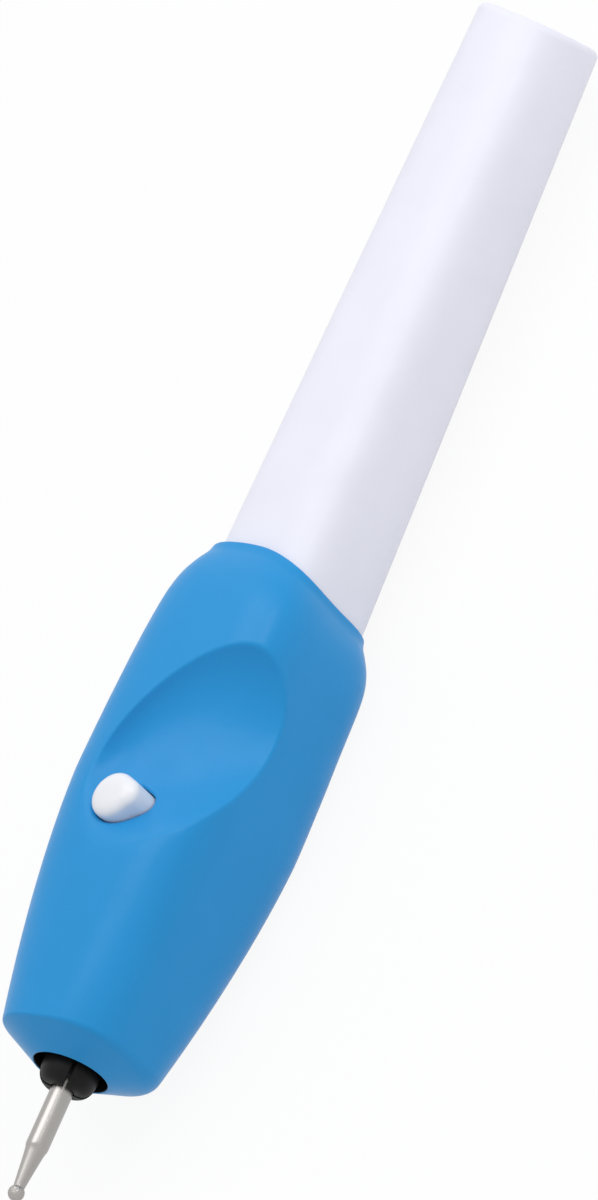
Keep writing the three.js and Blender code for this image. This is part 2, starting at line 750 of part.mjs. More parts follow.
// Rear contact spring: one unbroken wire wound on a cone, its foot against the strip's plate
function contactSpring() {
  const steps = Math.round(springTurns * 12);
  const wire = springWire / 2;
  const sides = 6;
  const centres = spread(0, 1, steps).map((t) => {
    const angle = 2 * Math.PI * springTurns * t;
    const radius = mix(springFootRadius, springTopRadius, t);
    const x = mix(springX + wire, cellsX - seatGap - wire, t);
    return { x, radius, angle };
  });
  const at = (x, reach, angle) => new THREE.Vector3(x, reach * Math.cos(angle), reach * Math.sin(angle));
  const turns = spread(0, 2 * Math.PI, sides).slice(0, sides);
  const rings = centres.map(({ x, radius, angle }) => turns.map((turn) => (
    at(x + wire * Math.sin(turn), radius + wire * Math.cos(turn), angle)
  )));
  const middles = centres.map(({ x, radius, angle }) => at(x, radius, angle));
  let least = Infinity;
  middles.forEach((a, i) => middles.slice(i + 9).forEach((b) => {
    least = Math.min(least, a.distanceTo(b) - springWire);
  }));
  console.log(`least gap between the spring's turns: ${least.toFixed(2)} mm`);
  return loft(rings);
}

// Motor

function motorCan() {
  return revolve([
    [canX, motorRadius - motorWall],
    [canX, motorRadius],
    [motorFrontX - 0.6, motorRadius],
    [motorFrontX, motorRadius - 0.6],
    [motorFrontX, bossRadius],
    [bossEndX, bossRadius],
    [bossEndX, shaftRadius + 0.9],
    [motorFrontX - motorWall - 0.4, shaftRadius + 0.9],
    [motorFrontX - motorWall - 0.4, motorRadius - motorWall],
    [canX, motorRadius - motorWall],
  ], 32);
}

function motorBush() {
  const outer = shaftRadius + 0.9 - 0.05;
  const inner = shaftRadius + runGap;
  return revolve([
    [motorFrontX - 2.2, inner],
    [motorFrontX - 2.2, outer],
    [bossEndX - 0.2, outer],
    [bossEndX - 0.2, inner],
    [motorFrontX - 2.2, inner],
  ]);
}

function motorEndCap() {
  const disc = revolve([
    [motorRearX, 0],
    [motorRearX, motorRadius - 0.7],
    [motorRearX + 0.4, motorRadius - 0.3],
    [canX - 0.1, motorRadius - 0.3],
    [canX - 0.1, 0],
  ], 32);
  const spigot = bar(spigotRadius, canX - 0.5, canX + 1.2, 0, 0, 32);
  const [across, thick] = [terminalHalfWidth + 0.25, terminalHalfThickness + 0.25];
  const slots = [1, -1].map((side) => block(motorRearX - 1, canX + 2, side * terminalSpread - across,
    side * terminalSpread + across, terminalZ - thick, terminalZ + thick));
  return cut(join(disc, spigot), bar(shaftRadius + runGap, canX - 1.4, canX + 2), ...slots);
}

function motorTerminal(side) {
  const y = side * terminalSpread;
  const tab = block(motorRearX - terminalLength, canX + 0.6, y - terminalHalfWidth, y + terminalHalfWidth,
    terminalZ - terminalHalfThickness, terminalZ + terminalHalfThickness);
  const holeX = motorRearX - terminalLength + terminalHalfWidth;
  return cut(tab, post(0.5, terminalZ - 1, terminalZ + 1, holeX, y, 8));
}

function motorRotor() {
  const drumX = canX + 4.4;
  const drumEnd = motorFrontX - 3.2;
  const drum = revolve([
    [canX - 1.1, 0],
    [canX - 1.1, shaftRadius],
    [canX + 1.6, shaftRadius],
    [canX + 1.6, 1.9],
    [drumX, 1.9],
    [drumX, rotorRadius],
    [drumEnd, rotorRadius],
    [drumEnd, shaftRadius],
    [shaftEnd, shaftRadius],
    [shaftEnd, 0],
  ]);
  const slots = spread(0, 2, 2).map((i) => {
    const geometry = new THREE.BoxGeometry(drumEnd - drumX + 2, 3, 1.1);
    geometry.translate((drumX + drumEnd) / 2, 4.2, 0).rotateX((2 * Math.PI * i) / 3);
    return toSolid(geometry);
  });
  return cut(drum, ...slots);
}

// Chuck: a black cap with slit jaws over a blackened steel sleeve

function chuckCap() {
  const bore = insertRadius + 0.05;
  const body = revolve([
    [chuckX, bore],
    [chuckX, chuckRadius - 0.4],
    [chuckX + 0.4, chuckRadius],
    [chuckEnd - 2.6, chuckRadius],
    [chuckEnd - 1.7, chuckRadius - 0.25],
    [chuckEnd - 0.9, chuckRadius - 0.8],
    [chuckEnd - 0.3, chuckRadius - 1.5],
    [chuckEnd, chuckRadius - 2.0],
    [chuckEnd, shankRadius + 0.12],
    [chuckEnd - 1.1, shankRadius + 0.12],
    [chuckEnd - 1.1, bore],
    [chuckX, bore],
  ], 32);
  const slits = [0, 1].map((i) => {
    const geometry = new THREE.BoxGeometry(slotDepth + 1, 2 * chuckRadius + 1, slotWidth);
    geometry.translate(chuckEnd + (1 - slotDepth) / 2, 0, 0).rotateX(Math.PI / 4 + (i * Math.PI) / 2);
    return toSolid(geometry);
  });
  return cut(body, ...slits);
}

function chuckSleeve() {
  const front = chuckEnd - 1.3;
  return revolve([
    [chuckX + 0.2, shaftRadius + 0.05],
    [chuckX + 0.2, insertRadius],
    [front, insertRadius],
    [front, shankRadius + 0.06],
    [burrX - 0.2, shankRadius + 0.06],
    [burrX - 0.2, shaftRadius + 0.05],
    [chuckX + 0.2, shaftRadius + 0.05],
  ]);
}

// Burr: straight shank, a cone down to a fine neck, and a ball head
function engravingBurr() {
  const coneX = chuckEnd + burrTaperStart;
  const ballX = chuckEnd + burrExposed - burrBallRadius;
  const neckMeets = Math.asin(burrNeckRadius / burrBallRadius);
  const ball = spread(Math.PI - neckMeets, 0, 8).map((angle) => [
    ballX + burrBallRadius * Math.cos(angle),
    angle === 0 ? 0 : burrBallRadius * Math.sin(angle),
  ]);
  return revolve([
    [burrX, 0],
    [burrX, shankRadius - 0.25],
    [burrX + 0.25, shankRadius],
    [coneX, shankRadius],
    [coneX + 0.4, shankRadius - 0.2],
    [coneX + 2.6, 0.98],
    [coneX + 4.6, burrNeckRadius],
    ...ball,
  ]);
}

// Button and switch

function buttonCap() {
  const edge = buttonTop - buttonDome;
  const dome = spread(0, 1, 6).map((t) => {
    const angle = (t * Math.PI) / 2;
    return buttonRing(edge + buttonDome * Math.sin(angle), -buttonCrown * (1 - Math.cos(angle)));
  });
  return join(
    loft([buttonRing(flangeBottom, 0), ...dome]),
    buttonPrism(buttonFlange, flangeBottom, flangeTop),
    post(footRadius, footZ, flangeTop, buttonX, buttonSide),
  );
}

function switchPlunger() {
  return post(plungerRadius, switchTopZ - plungerStroke + 0.4, plungerTop, buttonX, buttonSide);
}

function switchBody() {
  const half = switchSide / 2;
  const base = boardTopZ + seatGap;
  const body = block(buttonX - half, buttonX + half, buttonSide - half, buttonSide + half, base, switchTopZ);
  return cut(body, post(plungerRadius + 0.15, base + 0.4, switchTopZ + 1, buttonX, buttonSide));
}

function switchBoard() {
  return block(boardRear, boardFront - 0.6, -boardHalfWidth, boardHalfWidth, boardBottomZ, boardTopZ);
}

// Leads, each along its fixed route

const boardTabX = boardRear + 1.2;
const stripEndOut = stripRadius / Math.SQRT2;
const leadUnderTab = terminalZ - terminalHalfThickness - seatGap - leadRadius;

function batteryLead() {
  return lead([
    [tabEnd + seatGap, tabSide - 0.3, contactThickness / 2],
    [tabEnd + 2.4, 2.5, 0.3],
    [tabEnd + 4.6, 2.5, 0.6],
    [boardTabX, 4.2, boardTopZ + leadRadius + 2.2],
    [boardTabX + 0.2, 4.6, boardTopZ + 0.3],
  ], leadRadius, 14);
}

function returnLead() {
  return lead([
    [tabEnd + seatGap, 0.6 - stripEndOut, -stripEndOut],
    [tabEnd + 2.2, -2.6, -5.2],
    [postX + postRadius, -2.4, -6.2],
    [buttonX - 4, -3.0, -6.8],
    [motorRearX - terminalLength - 2, -terminalSpread, -6.2],
    [motorRearX - terminalLength + 1.2, -terminalSpread, leadUnderTab],
  ], leadRadius, 16);
}

function switchLead() {
  return lead([
    [boardTabX + 1, 3.4, boardBottomZ - 0.3],
    [boardTabX + 1.1, 3.4, boardBottomZ - 2.2],
    [buttonX - 1.5, 3.4, -6.4],
    [motorRearX - terminalLength + 1.2, terminalSpread, leadUnderTab],
  ], leadRadius, 14);
}

// Finishes

function finish(colour, roughness, metalness = 0) {
  return { color: colour, roughness, metalness };
}

const blueMoulding = finish(0x3f97d4, 0.42);
const whiteMoulding = finish(0xf0f1f8, 0.38);
const blackMoulding = finish(0x17181c, 0.4);
const greyMoulding = finish(0xb9bdc2, 0.5);
const nickel = finish(0xc9ccd0, 0.3, 1);
const steel = finish(0xb4b7bb, 0.28, 1);
const brass = finish(0xc59a4a, 0.32, 1);
const blackSteel = finish(0x303033, 0.45, 1);
const bronze = finish(0x9a7446, 0.55, 1);
const plainCell = finish(0x5f666e, 0.35, 0.2);
const boardLaminate = finish(0x2e6b45, 0.5);
const redLead = finish(0xb8232b, 0.5);
const blackLead = finish(0x1b1b1d, 0.5);
const yellowLead = finish(0xd8b126, 0.5);

// Assembly

const pen = new THREE.Group();
const inPlace = new THREE.Group();
pen.add(inPlace);

function place(name, solid, look) {
  const mesh = new THREE.Mesh(toGeometry(solid), new THREE.MeshStandardMaterial(look));
  mesh.name = name;
  inPlace.add(mesh);
}

place('grip_housing', gripHousing(), blueMoulding);
place('belly_cover', bellyCover(), blueMoulding);
place('cover_screw_left', coverScrew(1), steel);
place('cover_screw_right', coverScrew(-1), steel);
place('battery_sleeve', sleeve(), whiteMoulding);
place('battery_tray', batteryTray(), greyMoulding);
place('cell_rear', cell(0), plainCell);
place('cell_front', cell(1), plainCell);
place('front_contact', frontContact(), nickel);
place('return_strip', returnStrip(), nickel);
place('contact_spring', contactSpring(), steel);
place('motor_can', motorCan(), nickel);
place('motor_bush', motorBush(), bronze);
place('motor_end_cap', motorEndCap(), blackMoulding);
place('motor_terminal_left', motorTerminal(1), brass);
place('motor_terminal_right', motorTerminal(-1), brass);
place('motor_rotor', motorRotor(), steel);
place('chuck_cap', chuckCap(), blackMoulding);
place('chuck_sleeve', chuckSleeve(), blackSteel);
place('engraving_burr', engravingBurr(), steel);
place('button_cap', buttonCap(), whiteMoulding);
place('switch_plunger', switchPlunger(), whiteMoulding);
place('switch_body', switchBody(), blackMoulding);
place('switch_board', switchBoard(), boardLaminate);
place('battery_lead', batteryLead(), redLead);
place('return_lead', returnLead(), blackLead);
place('switch_lead', switchLead(), yellowLead);

// The origin goes under the middle of the pen, on the surface that it lies on
const reach = new THREE.Box3().setFromObject(inPlace);
const middle = reach.getCenter(new THREE.Vector3());
inPlace.position.set(-middle.x, -middle.y, -reach.min.z);

export default pen;
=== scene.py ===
"""Electric engraving pen: its surfaces, finishes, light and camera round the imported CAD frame.

Sizes are millimetres until a mesh is made. As in the part's source, x is measured from the
sleeve's tail, and y and z from the pen's axis. to_frame() turns these into the frame's metres.
"""

import math

import bmesh
import bpy
import numpy as np
from mathutils import Matrix, Vector


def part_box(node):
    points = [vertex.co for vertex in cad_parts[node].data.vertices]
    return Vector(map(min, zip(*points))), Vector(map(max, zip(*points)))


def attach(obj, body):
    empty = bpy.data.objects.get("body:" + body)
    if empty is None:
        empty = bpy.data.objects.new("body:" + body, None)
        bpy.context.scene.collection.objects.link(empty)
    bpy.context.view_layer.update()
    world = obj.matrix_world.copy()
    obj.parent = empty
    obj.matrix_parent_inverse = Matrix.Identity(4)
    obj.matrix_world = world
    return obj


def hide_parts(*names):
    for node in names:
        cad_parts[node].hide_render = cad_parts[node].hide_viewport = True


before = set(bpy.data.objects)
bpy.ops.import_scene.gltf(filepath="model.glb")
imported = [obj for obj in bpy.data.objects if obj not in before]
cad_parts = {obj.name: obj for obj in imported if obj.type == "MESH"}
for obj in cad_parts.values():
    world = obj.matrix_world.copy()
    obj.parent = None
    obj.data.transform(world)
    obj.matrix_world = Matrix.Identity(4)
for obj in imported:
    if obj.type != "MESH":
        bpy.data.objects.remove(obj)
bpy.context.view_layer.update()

# Clearances, walls, and how far a cutting tool reaches past what it cuts
SEAT_GAP = 0.3
SLIDE_GAP = 0.2
SLEEVE_WALL = 1.0
TAIL_WALL = 1.6
HOUSING_WALL = 1.7
TRAY_WALL = 0.8
TRAY_END_WALL = 1.3
OVERCUT = 1.0

# Cells, tray and contacts
CELL_LENGTH = 44.5
CELL_RADIUS = 5.2
NUB_RADIUS = 1.9
NUB_LENGTH = 1.0
NUB_ROUND = 0.15
FACE_RADIUS = 3.9
FACE_SINK = 0.05
FACE_EDGE = 0.2
GROOVE_DEPTH = 0.15
GROOVE_EDGE = 0.25
FILM_ROUND_REAR = 0.35
FILM_ROUND_FRONT = 0.4
CELL_GAP = 0.15
CONTACT = 0.4
SPRING_LENGTH = 3.3
SPRING_WIRE = 0.5
SPRING_TURNS = 2.5
SPRING_FOOT = 3.4
SPRING_TOP = 2.4
SPRING_STEPS_A_TURN = 36
TRAY_POWER = 2.6
FLANGE_THICKNESS = 1.6
INNER_EDGE = 0.06

# Sleeve
SLEEVE_FLARE = 1.25
SLEEVE_DROP = 0.9
TAIL_POWER = 2.6
COLLAR_POWER = 3.6
TAIL_TILT = 0.36
TAIL_ROUND = 1.0
TAIL_SEAT = 0.6
TAIL_FADE = 16.0
TAIL_FACE_INSETS = (3.0, 5.0, 6.8)
MOUTH_ROUND = 0.2

# Grip housing
SOCKET_DEPTH = 5.1
SOCKET_MOUTH = 0.2
COLLAR_BEHIND_CONTACT = 17.0
LIP_WALL = 0.45
LIP_ROUND = 0.3
LIP_OFFSET = 0.18
COLLAR_STEP = 1.89
COLLAR_SHARPNESS = 2.0
COLLAR_TURN = math.radians(-38)
COLLAR_FADE = 18.0
BULKHEAD = 1.8
SHOULDER_LENGTH = 9.2
SHOULDER = [
    (0, 0), (0.12, 0.09), (0.25, 0.29), (0.37, 0.46), (0.5, 0.605), (0.66, 0.72), (0.84, 0.79),
    (1.1, 0.83), (1.86, 0.878), (2.6, 0.95),
]
GRIP_HALF = 12.25
GRIP_POWER = 4.4
WIDEST_BEFORE_BUTTON = 3.8
NOSE_HALF = 9.4
NOSE_POWER = 2.75
TAPER_POWER = 1.75
RIM_BEYOND_MOTOR = 8.2
NOSE_FACE_DEPTH = 2.8
NOSE_LEAN = 0.027
NOSE_ROUND_CRISP = 0.5
NOSE_ROUND_SOFT = 2.2
NOSE_ROUND_START = 0.6
NOSE_ROUND_TURN = math.radians(60)
NOSE_GAP = 1.2
HOLE_ROUND = 0.2
HOLE_BEHIND_FACE = 0.35
BORE_DEPTH = 3.0
BORE_MIDDLE = 2.0
BELLY_LAND = 0.4

# Thumb dish
DISH_LENGTH = 15.6
DISH_WIDTH = 9.1
DISH_DEPTH = 2.6
DISH_SQUARENESS = 3.0
DISH_SKEW = 0.55
DISH_SOFTNESS = 1.6
DISH_SOFT_FROM = 0.1
DISH_SOFT_OVER = 0.8
DISH_SOFT_SLOPE = 0.6
DISH_BEHIND_BUTTON = 8.2
DISH_SIDEWAYS = -2.6
DISH_TILT = math.radians(40)
DISH_TURN = math.radians(-19.5)
DISH_EDGE = 0.4
RIM_SAMPLES = 360
RIM_WAVES = 8
HALVINGS = 40
STATION_STEPS = 4

# Button
BUTTON_BEYOND_POSTS = 11.7
BUTTON_SIDE = -0.15
BUTTON_BIG = 3.15
BUTTON_SMALL = 2.2
BUTTON_SPREAD = 1.65
BUTTON_TURN = math.radians(100)
BUTTON_TOP = 13.2
BUTTON_DOME = 1.6
BUTTON_FULLNESS = 2.6
BUTTON_GAP = 0.15
BUTTON_FLANGE = 0.7
BUTTON_POINTS = 96
BIG_END_POINTS = 59
WALL_ABOVE_FLANGE = 0.5
FLANGE_TOP = 6.2
FLANGE_BOTTOM = 5.4
FOOT_Z = 5.1
FOOT_RADIUS = 1.5
FOOT_OVERLAP = 0.3
WELL_WALL = 1.1
WELL_BOTTOM = 6.5
WELL_CUT = 4.0
WELL_ROUND = 0.4

# Motor, chuck and burr
MOTOR_BEHIND_BUTTON = 4.3
MOTOR_CAP = 2.2
MOTOR_LENGTH = 15.5
MOTOR_RADIUS = 7.0
BOSS_RADIUS = 3.0
BOSS_LENGTH = 1.2
BOSS_SEAT_REACH = 0.4
BOSS_SEAT_WALL = 1.0
CRADLE_RIB = 1.4
CRADLE_INSET = 1.6
CRADLE_FRONT_INSET = 3.6
ROOM_BEHIND_RIM = 1.4
CHUCK_RADIUS = 3.7
CHUCK_REACH = 2.2
CHUCK_BEHIND_BOSS = 1.6
CHUCK_CHAMFER = 0.4
CHUCK_DOME = 2.4
CHUCK_DOME_POWER = 0.8
CHUCK_FACE = 0.45
CHUCK_FACE_SINK = 0.02
CHUCK_LIP = 1.1
CHUCK_EDGE = 0.1
INSERT_RADIUS = 2.5
INSERT_GAP = 0.05
SHAFT_IN_CHUCK = 3.4
SLOT_WIDTH = 0.5
SLOT_DEPTH = 4.2
SHANK_RADIUS = 1.47
SHANK_GAP = 0.12
SHANK_CHAMFER = 0.25
BURR_EXPOSED = 15.6
BURR_TAPER_START = 8.3
BURR_STEP = [(-0.25, 0.01), (-0.05, 0.05), (0.12, 0.11), (0.35, 0.17)]  # x off the cone, drop
CONE_POWER = 0.9
NECK_EASE = 0.1
NECK_RADIUS = 0.72
BALL_RADIUS = 1.05

# Cover and its screws
COVER_ANGLE = math.radians(38)
COVER_GAP = 0.15
COVER_BEHIND_POSTS = 8.6
COVER_BEFORE_RIM = 5.5
POST_BEYOND_TRAY = 5.6
POST_SIDE = 5.8
SCREW_RADIUS = 1.0
SCREW_LENGTH = 7.0
POINT_LENGTH = 0.6
POINT_INSET = 0.4
HEAD_RADIUS = 1.8
HEAD_HEIGHT = 1.3
HEAD_SINK = 0.7
HEAD_DOME = 0.35
HEAD_DOME_WIDTH = 0.9
RECESS_LONG = 1.05
RECESS_WIDE = 0.24
RECESS_SECTIONS = [(-0.5, 1.15), (0.75, 0.6)]  # height over the head's bottom, scale

# Half widths and stations that follow
TRAY_INNER = CELL_RADIUS + CELL_GAP
TRAY_HALF = TRAY_INNER + TRAY_WALL
TAIL_HALF = TRAY_HALF + SEAT_GAP + SLEEVE_WALL
COLLAR_HALF = TAIL_HALF + SLEEVE_FLARE
LIP_HALF = COLLAR_HALF + SLIDE_GAP + LIP_WALL
BELLY_Z = -(GRIP_HALF - BELLY_LAND)
NOSE_HOLE = CHUCK_RADIUS + NOSE_GAP

TRAY_CORNER = TRAY_HALF * 2 ** (0.5 - 1 / TRAY_POWER)
TRAY_REAR = TAIL_WALL + TAIL_TILT * TRAY_CORNER + TAIL_SEAT
SPRING_X = TRAY_REAR + TRAY_END_WALL + SEAT_GAP + CONTACT + SEAT_GAP
CELLS_X = SPRING_X + SPRING_LENGTH
CELLS_END = CELLS_X + 2 * CELL_LENGTH + SEAT_GAP
TRAY_FRONT = CELLS_END + SEAT_GAP + CONTACT + SEAT_GAP + TRAY_END_WALL
COLLAR_X = CELLS_END - COLLAR_BEHIND_CONTACT
SLEEVE_END = COLLAR_X + SOCKET_DEPTH
BULKHEAD_X = SLEEVE_END + SEAT_GAP + FLANGE_THICKNESS + SEAT_GAP
ROOM_X = BULKHEAD_X + BULKHEAD
POST_X = TRAY_FRONT + POST_BEYOND_TRAY
BUTTON_X = POST_X + BUTTON_BEYOND_POSTS
WIDEST_X = BUTTON_X - WIDEST_BEFORE_BUTTON
CAN_X = BUTTON_X + MOTOR_BEHIND_BUTTON + MOTOR_CAP
MOTOR_FRONT = CAN_X + MOTOR_LENGTH
BOSS_END = MOTOR_FRONT + BOSS_LENGTH
RIM_X = MOTOR_FRONT + RIM_BEYOND_MOTOR
NOSE_X = RIM_X + NOSE_FACE_DEPTH
CHUCK_X = BOSS_END + CHUCK_BEHIND_BOSS
CHUCK_END = NOSE_X + CHUCK_REACH
BURR_X = CHUCK_X + SHAFT_IN_CHUCK + SEAT_GAP
COVER_REAR = POST_X - COVER_BEHIND_POSTS
COVER_FRONT = RIM_X - COVER_BEFORE_RIM
DISH_X = BUTTON_X - DISH_BEHIND_BUTTON
HEAD_BOTTOM = BELLY_Z + HEAD_SINK
HEAD_TOP = HEAD_BOTTOM + HEAD_HEIGHT

# The dish's own directions, and the place below it that they start from
DISH_UP = np.array([0, math.sin(DISH_TILT), math.cos(DISH_TILT)])
DISH_SIDE = np.array([0, math.cos(DISH_TILT), -math.sin(DISH_TILT)])
DISH_ALONG = np.array([math.cos(DISH_TURN), 0, 0]) + math.sin(DISH_TURN) * DISH_SIDE
DISH_ACROSS = np.cross(DISH_UP, DISH_ALONG)
DISH_FOOT = np.array([DISH_X, 0, 0]) + DISH_SIDEWAYS * DISH_SIDE

# Stations along the grip and angles round it, in degrees, between which the dish lies
DISH_STATIONS = (95, 127)
DISH_ARC = (-8, 128)
GRIP_ANGLES = np.radians(np.concatenate([
    np.linspace(*DISH_ARC, 170, endpoint=False),
    np.linspace(DISH_ARC[1], DISH_ARC[0] + 360, 104, endpoint=False),
]))

# The motor's boss ends at BOSS_END in both measures, and the belly's flat is at z = 0 in the frame
ORIGIN = np.array([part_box("motor_can")[1][0] * 1000 - BOSS_END, 0, -BELLY_Z])


def to_frame(points):
    """Metres in the frame from millimetres off the tail and the axis."""
    return (np.asarray(points, dtype=float) + ORIGIN) / 1000


# Meshes

def placed(name, data):
    """A new object of the scene that holds the data."""
    piece = bpy.data.objects.new(name, data)
    bpy.context.collection.objects.link(piece)
    return piece


def mesh_piece(name, points, faces):
    """An object of points and faces, with the faces turned outwards."""
    mesh = bpy.data.meshes.new(name)
    mesh.from_pydata(to_frame(points).reshape(-1, 3).tolist(), [], faces)
    work = bmesh.new()
    work.from_mesh(mesh)
    bmesh.ops.remove_doubles(work, verts=work.verts, dist=1e-7)
    bmesh.ops.recalc_face_normals(work, faces=work.faces)
    work.to_mesh(mesh)
    work.free()
    return placed(name, mesh)


def skin(name, rings, closed=False):
    """A skin over a grid of closed rings. It ends in a fan at each end, or joins its last ring
    to its first."""
    rings = np.asarray(rings, dtype=float)
    count, around = rings.shape[:2]
    ring = np.arange(count if closed else count - 1)[:, None]
    step = np.arange(around)[None, :]
    after = (step + 1) % around
    low, high = ring * around, (ring + 1) % count * around
    quads = np.broadcast_arrays(low + step, low + after, high + after, high + step)
    faces = np.stack(quads, -1).reshape(-1, 4).tolist()
    points = rings.reshape(-1, 3)
    if not closed:
        points = np.vstack([points, rings[0].mean(0), rings[-1].mean(0)])
        for start, hub in ((0, count * around), ((count - 1) * around, count * around + 1)):
            fan = np.broadcast_arrays(start + step, start + after, hub)
            faces += np.stack(fan, -1).reshape(-1, 3).tolist()
    return mesh_piece(name, points, faces)


def full_turn(count):
    """Angles evenly round a circle."""
    return np.linspace(0, 2 * np.pi, count, endpoint=False)


def rounding(width, count):
    """How far behind the face, and how far in from the side, the points of a rounded edge lie.
    They run from the side to the face."""
    arc = np.linspace(0, np.pi / 2, count)
    return width * (1 - np.sin(arc)), width * (1 - np.cos(arc))


def rotated(u, v, angle):
    """Plane coordinates turned by an angle."""
    c, s = math.cos(angle), math.sin(angle)
    return u * c - v * s, u * s + v * c


def flat_ring(x, y, z):
    """The points y, z in the plane at x."""
    return np.column_stack([np.full(len(y), x), y, z])


def level_ring(outline, z):
    """The points of an outline in x and y, at one height."""
    return np.column_stack([outline, np.full(len(outline), z)])


def round_rings(x, radius, angles):
    """Round sections about the pen's axis."""
    x, radius = np.atleast_1d(x)[:, None], np.atleast_1d(radius)[:, None]
    places = np.broadcast_arrays(x, radius * np.cos(angles), radius * np.sin(angles))
    return np.stack(places, -1)


def turned(name, profile, sides):
    """A profile of (x, radius) turned about the pen's axis. One that starts off the axis closes
    on itself."""
    x, radius = np.asarray(profile, dtype=float).T
    return skin(name, round_rings(x, np.maximum(radius, 1e-4), full_turn(sides)), radius[0] > 0.01)


def block(name, low, high):
    """A plain box, used only to cut with."""
    (x0, y0, z0), (x1, y1, z1) = low, high
    return skin(name, [flat_ring(x, [y0, y1, y1, y0], [z0, z0, z1, z1]) for x in (x0, x1)])


def carve(piece, *tools, how="DIFFERENCE"):
    """Cuts, joins or crosses a piece with the tools, keeps the result in its mesh and drops the
    tools."""
    for tool in tools:
        change = piece.modifiers.new("carve", "BOOLEAN")
        change.solver = "MANIFOLD"
        change.operation = how
        change.object = tool
    bpy.context.view_layer.update()
    graph = bpy.context.evaluated_depsgraph_get()
    done = bpy.data.meshes.new_from_object(piece.evaluated_get(graph))
    piece.modifiers.clear()
    old, piece.data = piece.data, done
    done.name = piece.name
    bpy.data.meshes.remove(old)
    for tool in tools:
        bpy.data.objects.remove(tool)
    return piece


def smooth(piece, crease=35):
    """Shades a piece smooth but for edges sharper than the crease angle."""
    polygons = piece.data.polygons
    polygons.foreach_set("use_smooth", np.ones(len(polygons), dtype=bool))
    piece.data.set_sharp_from_angle(angle=math.radians(crease))
    return piece


def bevelled(piece, width, crease=40):
    """Rounds a piece's sharp edges by a width in millimetres."""
    edge = piece.modifiers.new("rounding", "BEVEL")
    edge.width = width / 1000
    edge.segments = 2
    edge.limit_method = "ANGLE"
    edge.angle_limit = math.radians(crease)
    edge.harden_normals = True
    return piece


# Forms

def fade(t):
    """1 up to 0 and 0 from 1 on, with a smooth change between."""
    t = np.clip(t, 0, 1)
    return 1 - t * t * (3 - 2 * t)


def mix(a, b, t):
    """a at 0, b at 1, and straight between and beyond."""
    return a + (b - a) * t


def through(points, x):
    """A smooth curve through points that never overshoots: cubic pieces whose slopes are the
    harmonic mean of the slopes on each side, level at the last point."""
    px, py = np.array(points, dtype=float).T
    rise = np.diff(py) / np.diff(px)
    slope = np.zeros_like(px)
    slope[0] = rise[0]
    slope[1:-1] = 2 * rise[:-1] * rise[1:] / np.maximum(rise[:-1] + rise[1:], 1e-9)
    x = np.clip(x, px[0], px[-1])
    i = np.clip(np.searchsorted(px, x, side="right") - 1, 0, len(px) - 2)
    wide = px[i + 1] - px[i]
    t = (x - px[i]) / wide
    return ((1 + 2 * t) * (1 - t) ** 2 * py[i] + t * (1 - t) ** 2 * wide * slope[i]
            + t * t * (3 - 2 * t) * py[i + 1] + t * t * (t - 1) * wide * slope[i + 1])


def superellipse(half, power, angles):
    """y and z of the curve |y/half|^power + |z/half|^power = 1 at polar angles."""
    c, s = np.cos(angles), np.sin(angles)
    reach = half / (np.abs(c) ** power + np.abs(s) ** power) ** (1 / power)
    return reach * c, reach * s


def sleeve_rings(x, grow, angles, lean=True):
    """The sleeve's sections: a superellipse that widens and squares up with x, sinks with it, and
    near the tail leans towards the +Y +Z corner."""
    x, grow = np.broadcast_arrays(np.asarray(x, float), np.asarray(grow, float))
    x, grow = x[:, None], grow[:, None]
    t = x / COLLAR_X
    half, power = mix(TAIL_HALF, COLLAR_HALF, t) + grow, mix(TAIL_POWER, COLLAR_POWER, t)
    y, z = superellipse(half, power, angles)
    tilt = TAIL_TILT / math.sqrt(2) * fade(x / TAIL_FADE) * lean
    return np.stack([x + tilt * (y + z), y, z - SLEEVE_DROP * t], -1)


def grip_half(x):
    """Half width of the grip: the shoulder's curve up to the widest station, then a power curve
    to the nose."""
    shoulder = [(COLLAR_X + t * SHOULDER_LENGTH, mix(LIP_HALF, GRIP_HALF, rise))
                for t, rise in SHOULDER]
    rear = through(shoulder + [(WIDEST_X, GRIP_HALF)], x)
    along = np.clip((x - WIDEST_X) / (RIM_X - WIDEST_X), 0, 2)
    return np.where(x > WIDEST_X, mix(GRIP_HALF, NOSE_HALF, along ** TAPER_POWER), rear)


def grip_power(x):
    """How square the grip's section is: most at the widest station, least at the nose."""
    rear = mix(COLLAR_POWER, GRIP_POWER, 1 - fade((x - COLLAR_X) / (2 * SHOULDER_LENGTH)))
    along = np.clip((x - WIDEST_X) / (RIM_X - WIDEST_X), 0, 1)
    return np.where(x > WIDEST_X, mix(GRIP_POWER, NOSE_POWER, along), rear)


def collar_share(x):
    """How much of the collar's wave and drop is left at x."""
    return fade((x - COLLAR_X) / COLLAR_FADE)


def collar_wave(y, z):
    """How far forward the collar's edge runs at a place round the section."""
    return COLLAR_STEP * np.tanh(COLLAR_SHARPNESS * np.cos(np.arctan2(z, y) - COLLAR_TURN))


def rim_shift(station, y, z):
    """How far forward a place round the section at a station lies: the collar's wave, and the
    nose's lean towards the +Y -Z corner."""
    lean = NOSE_LEAN * (1 - fade((station - WIDEST_X) / (RIM_X - WIDEST_X)))
    return collar_share(station) * collar_wave(y, z) + lean * (y - z)


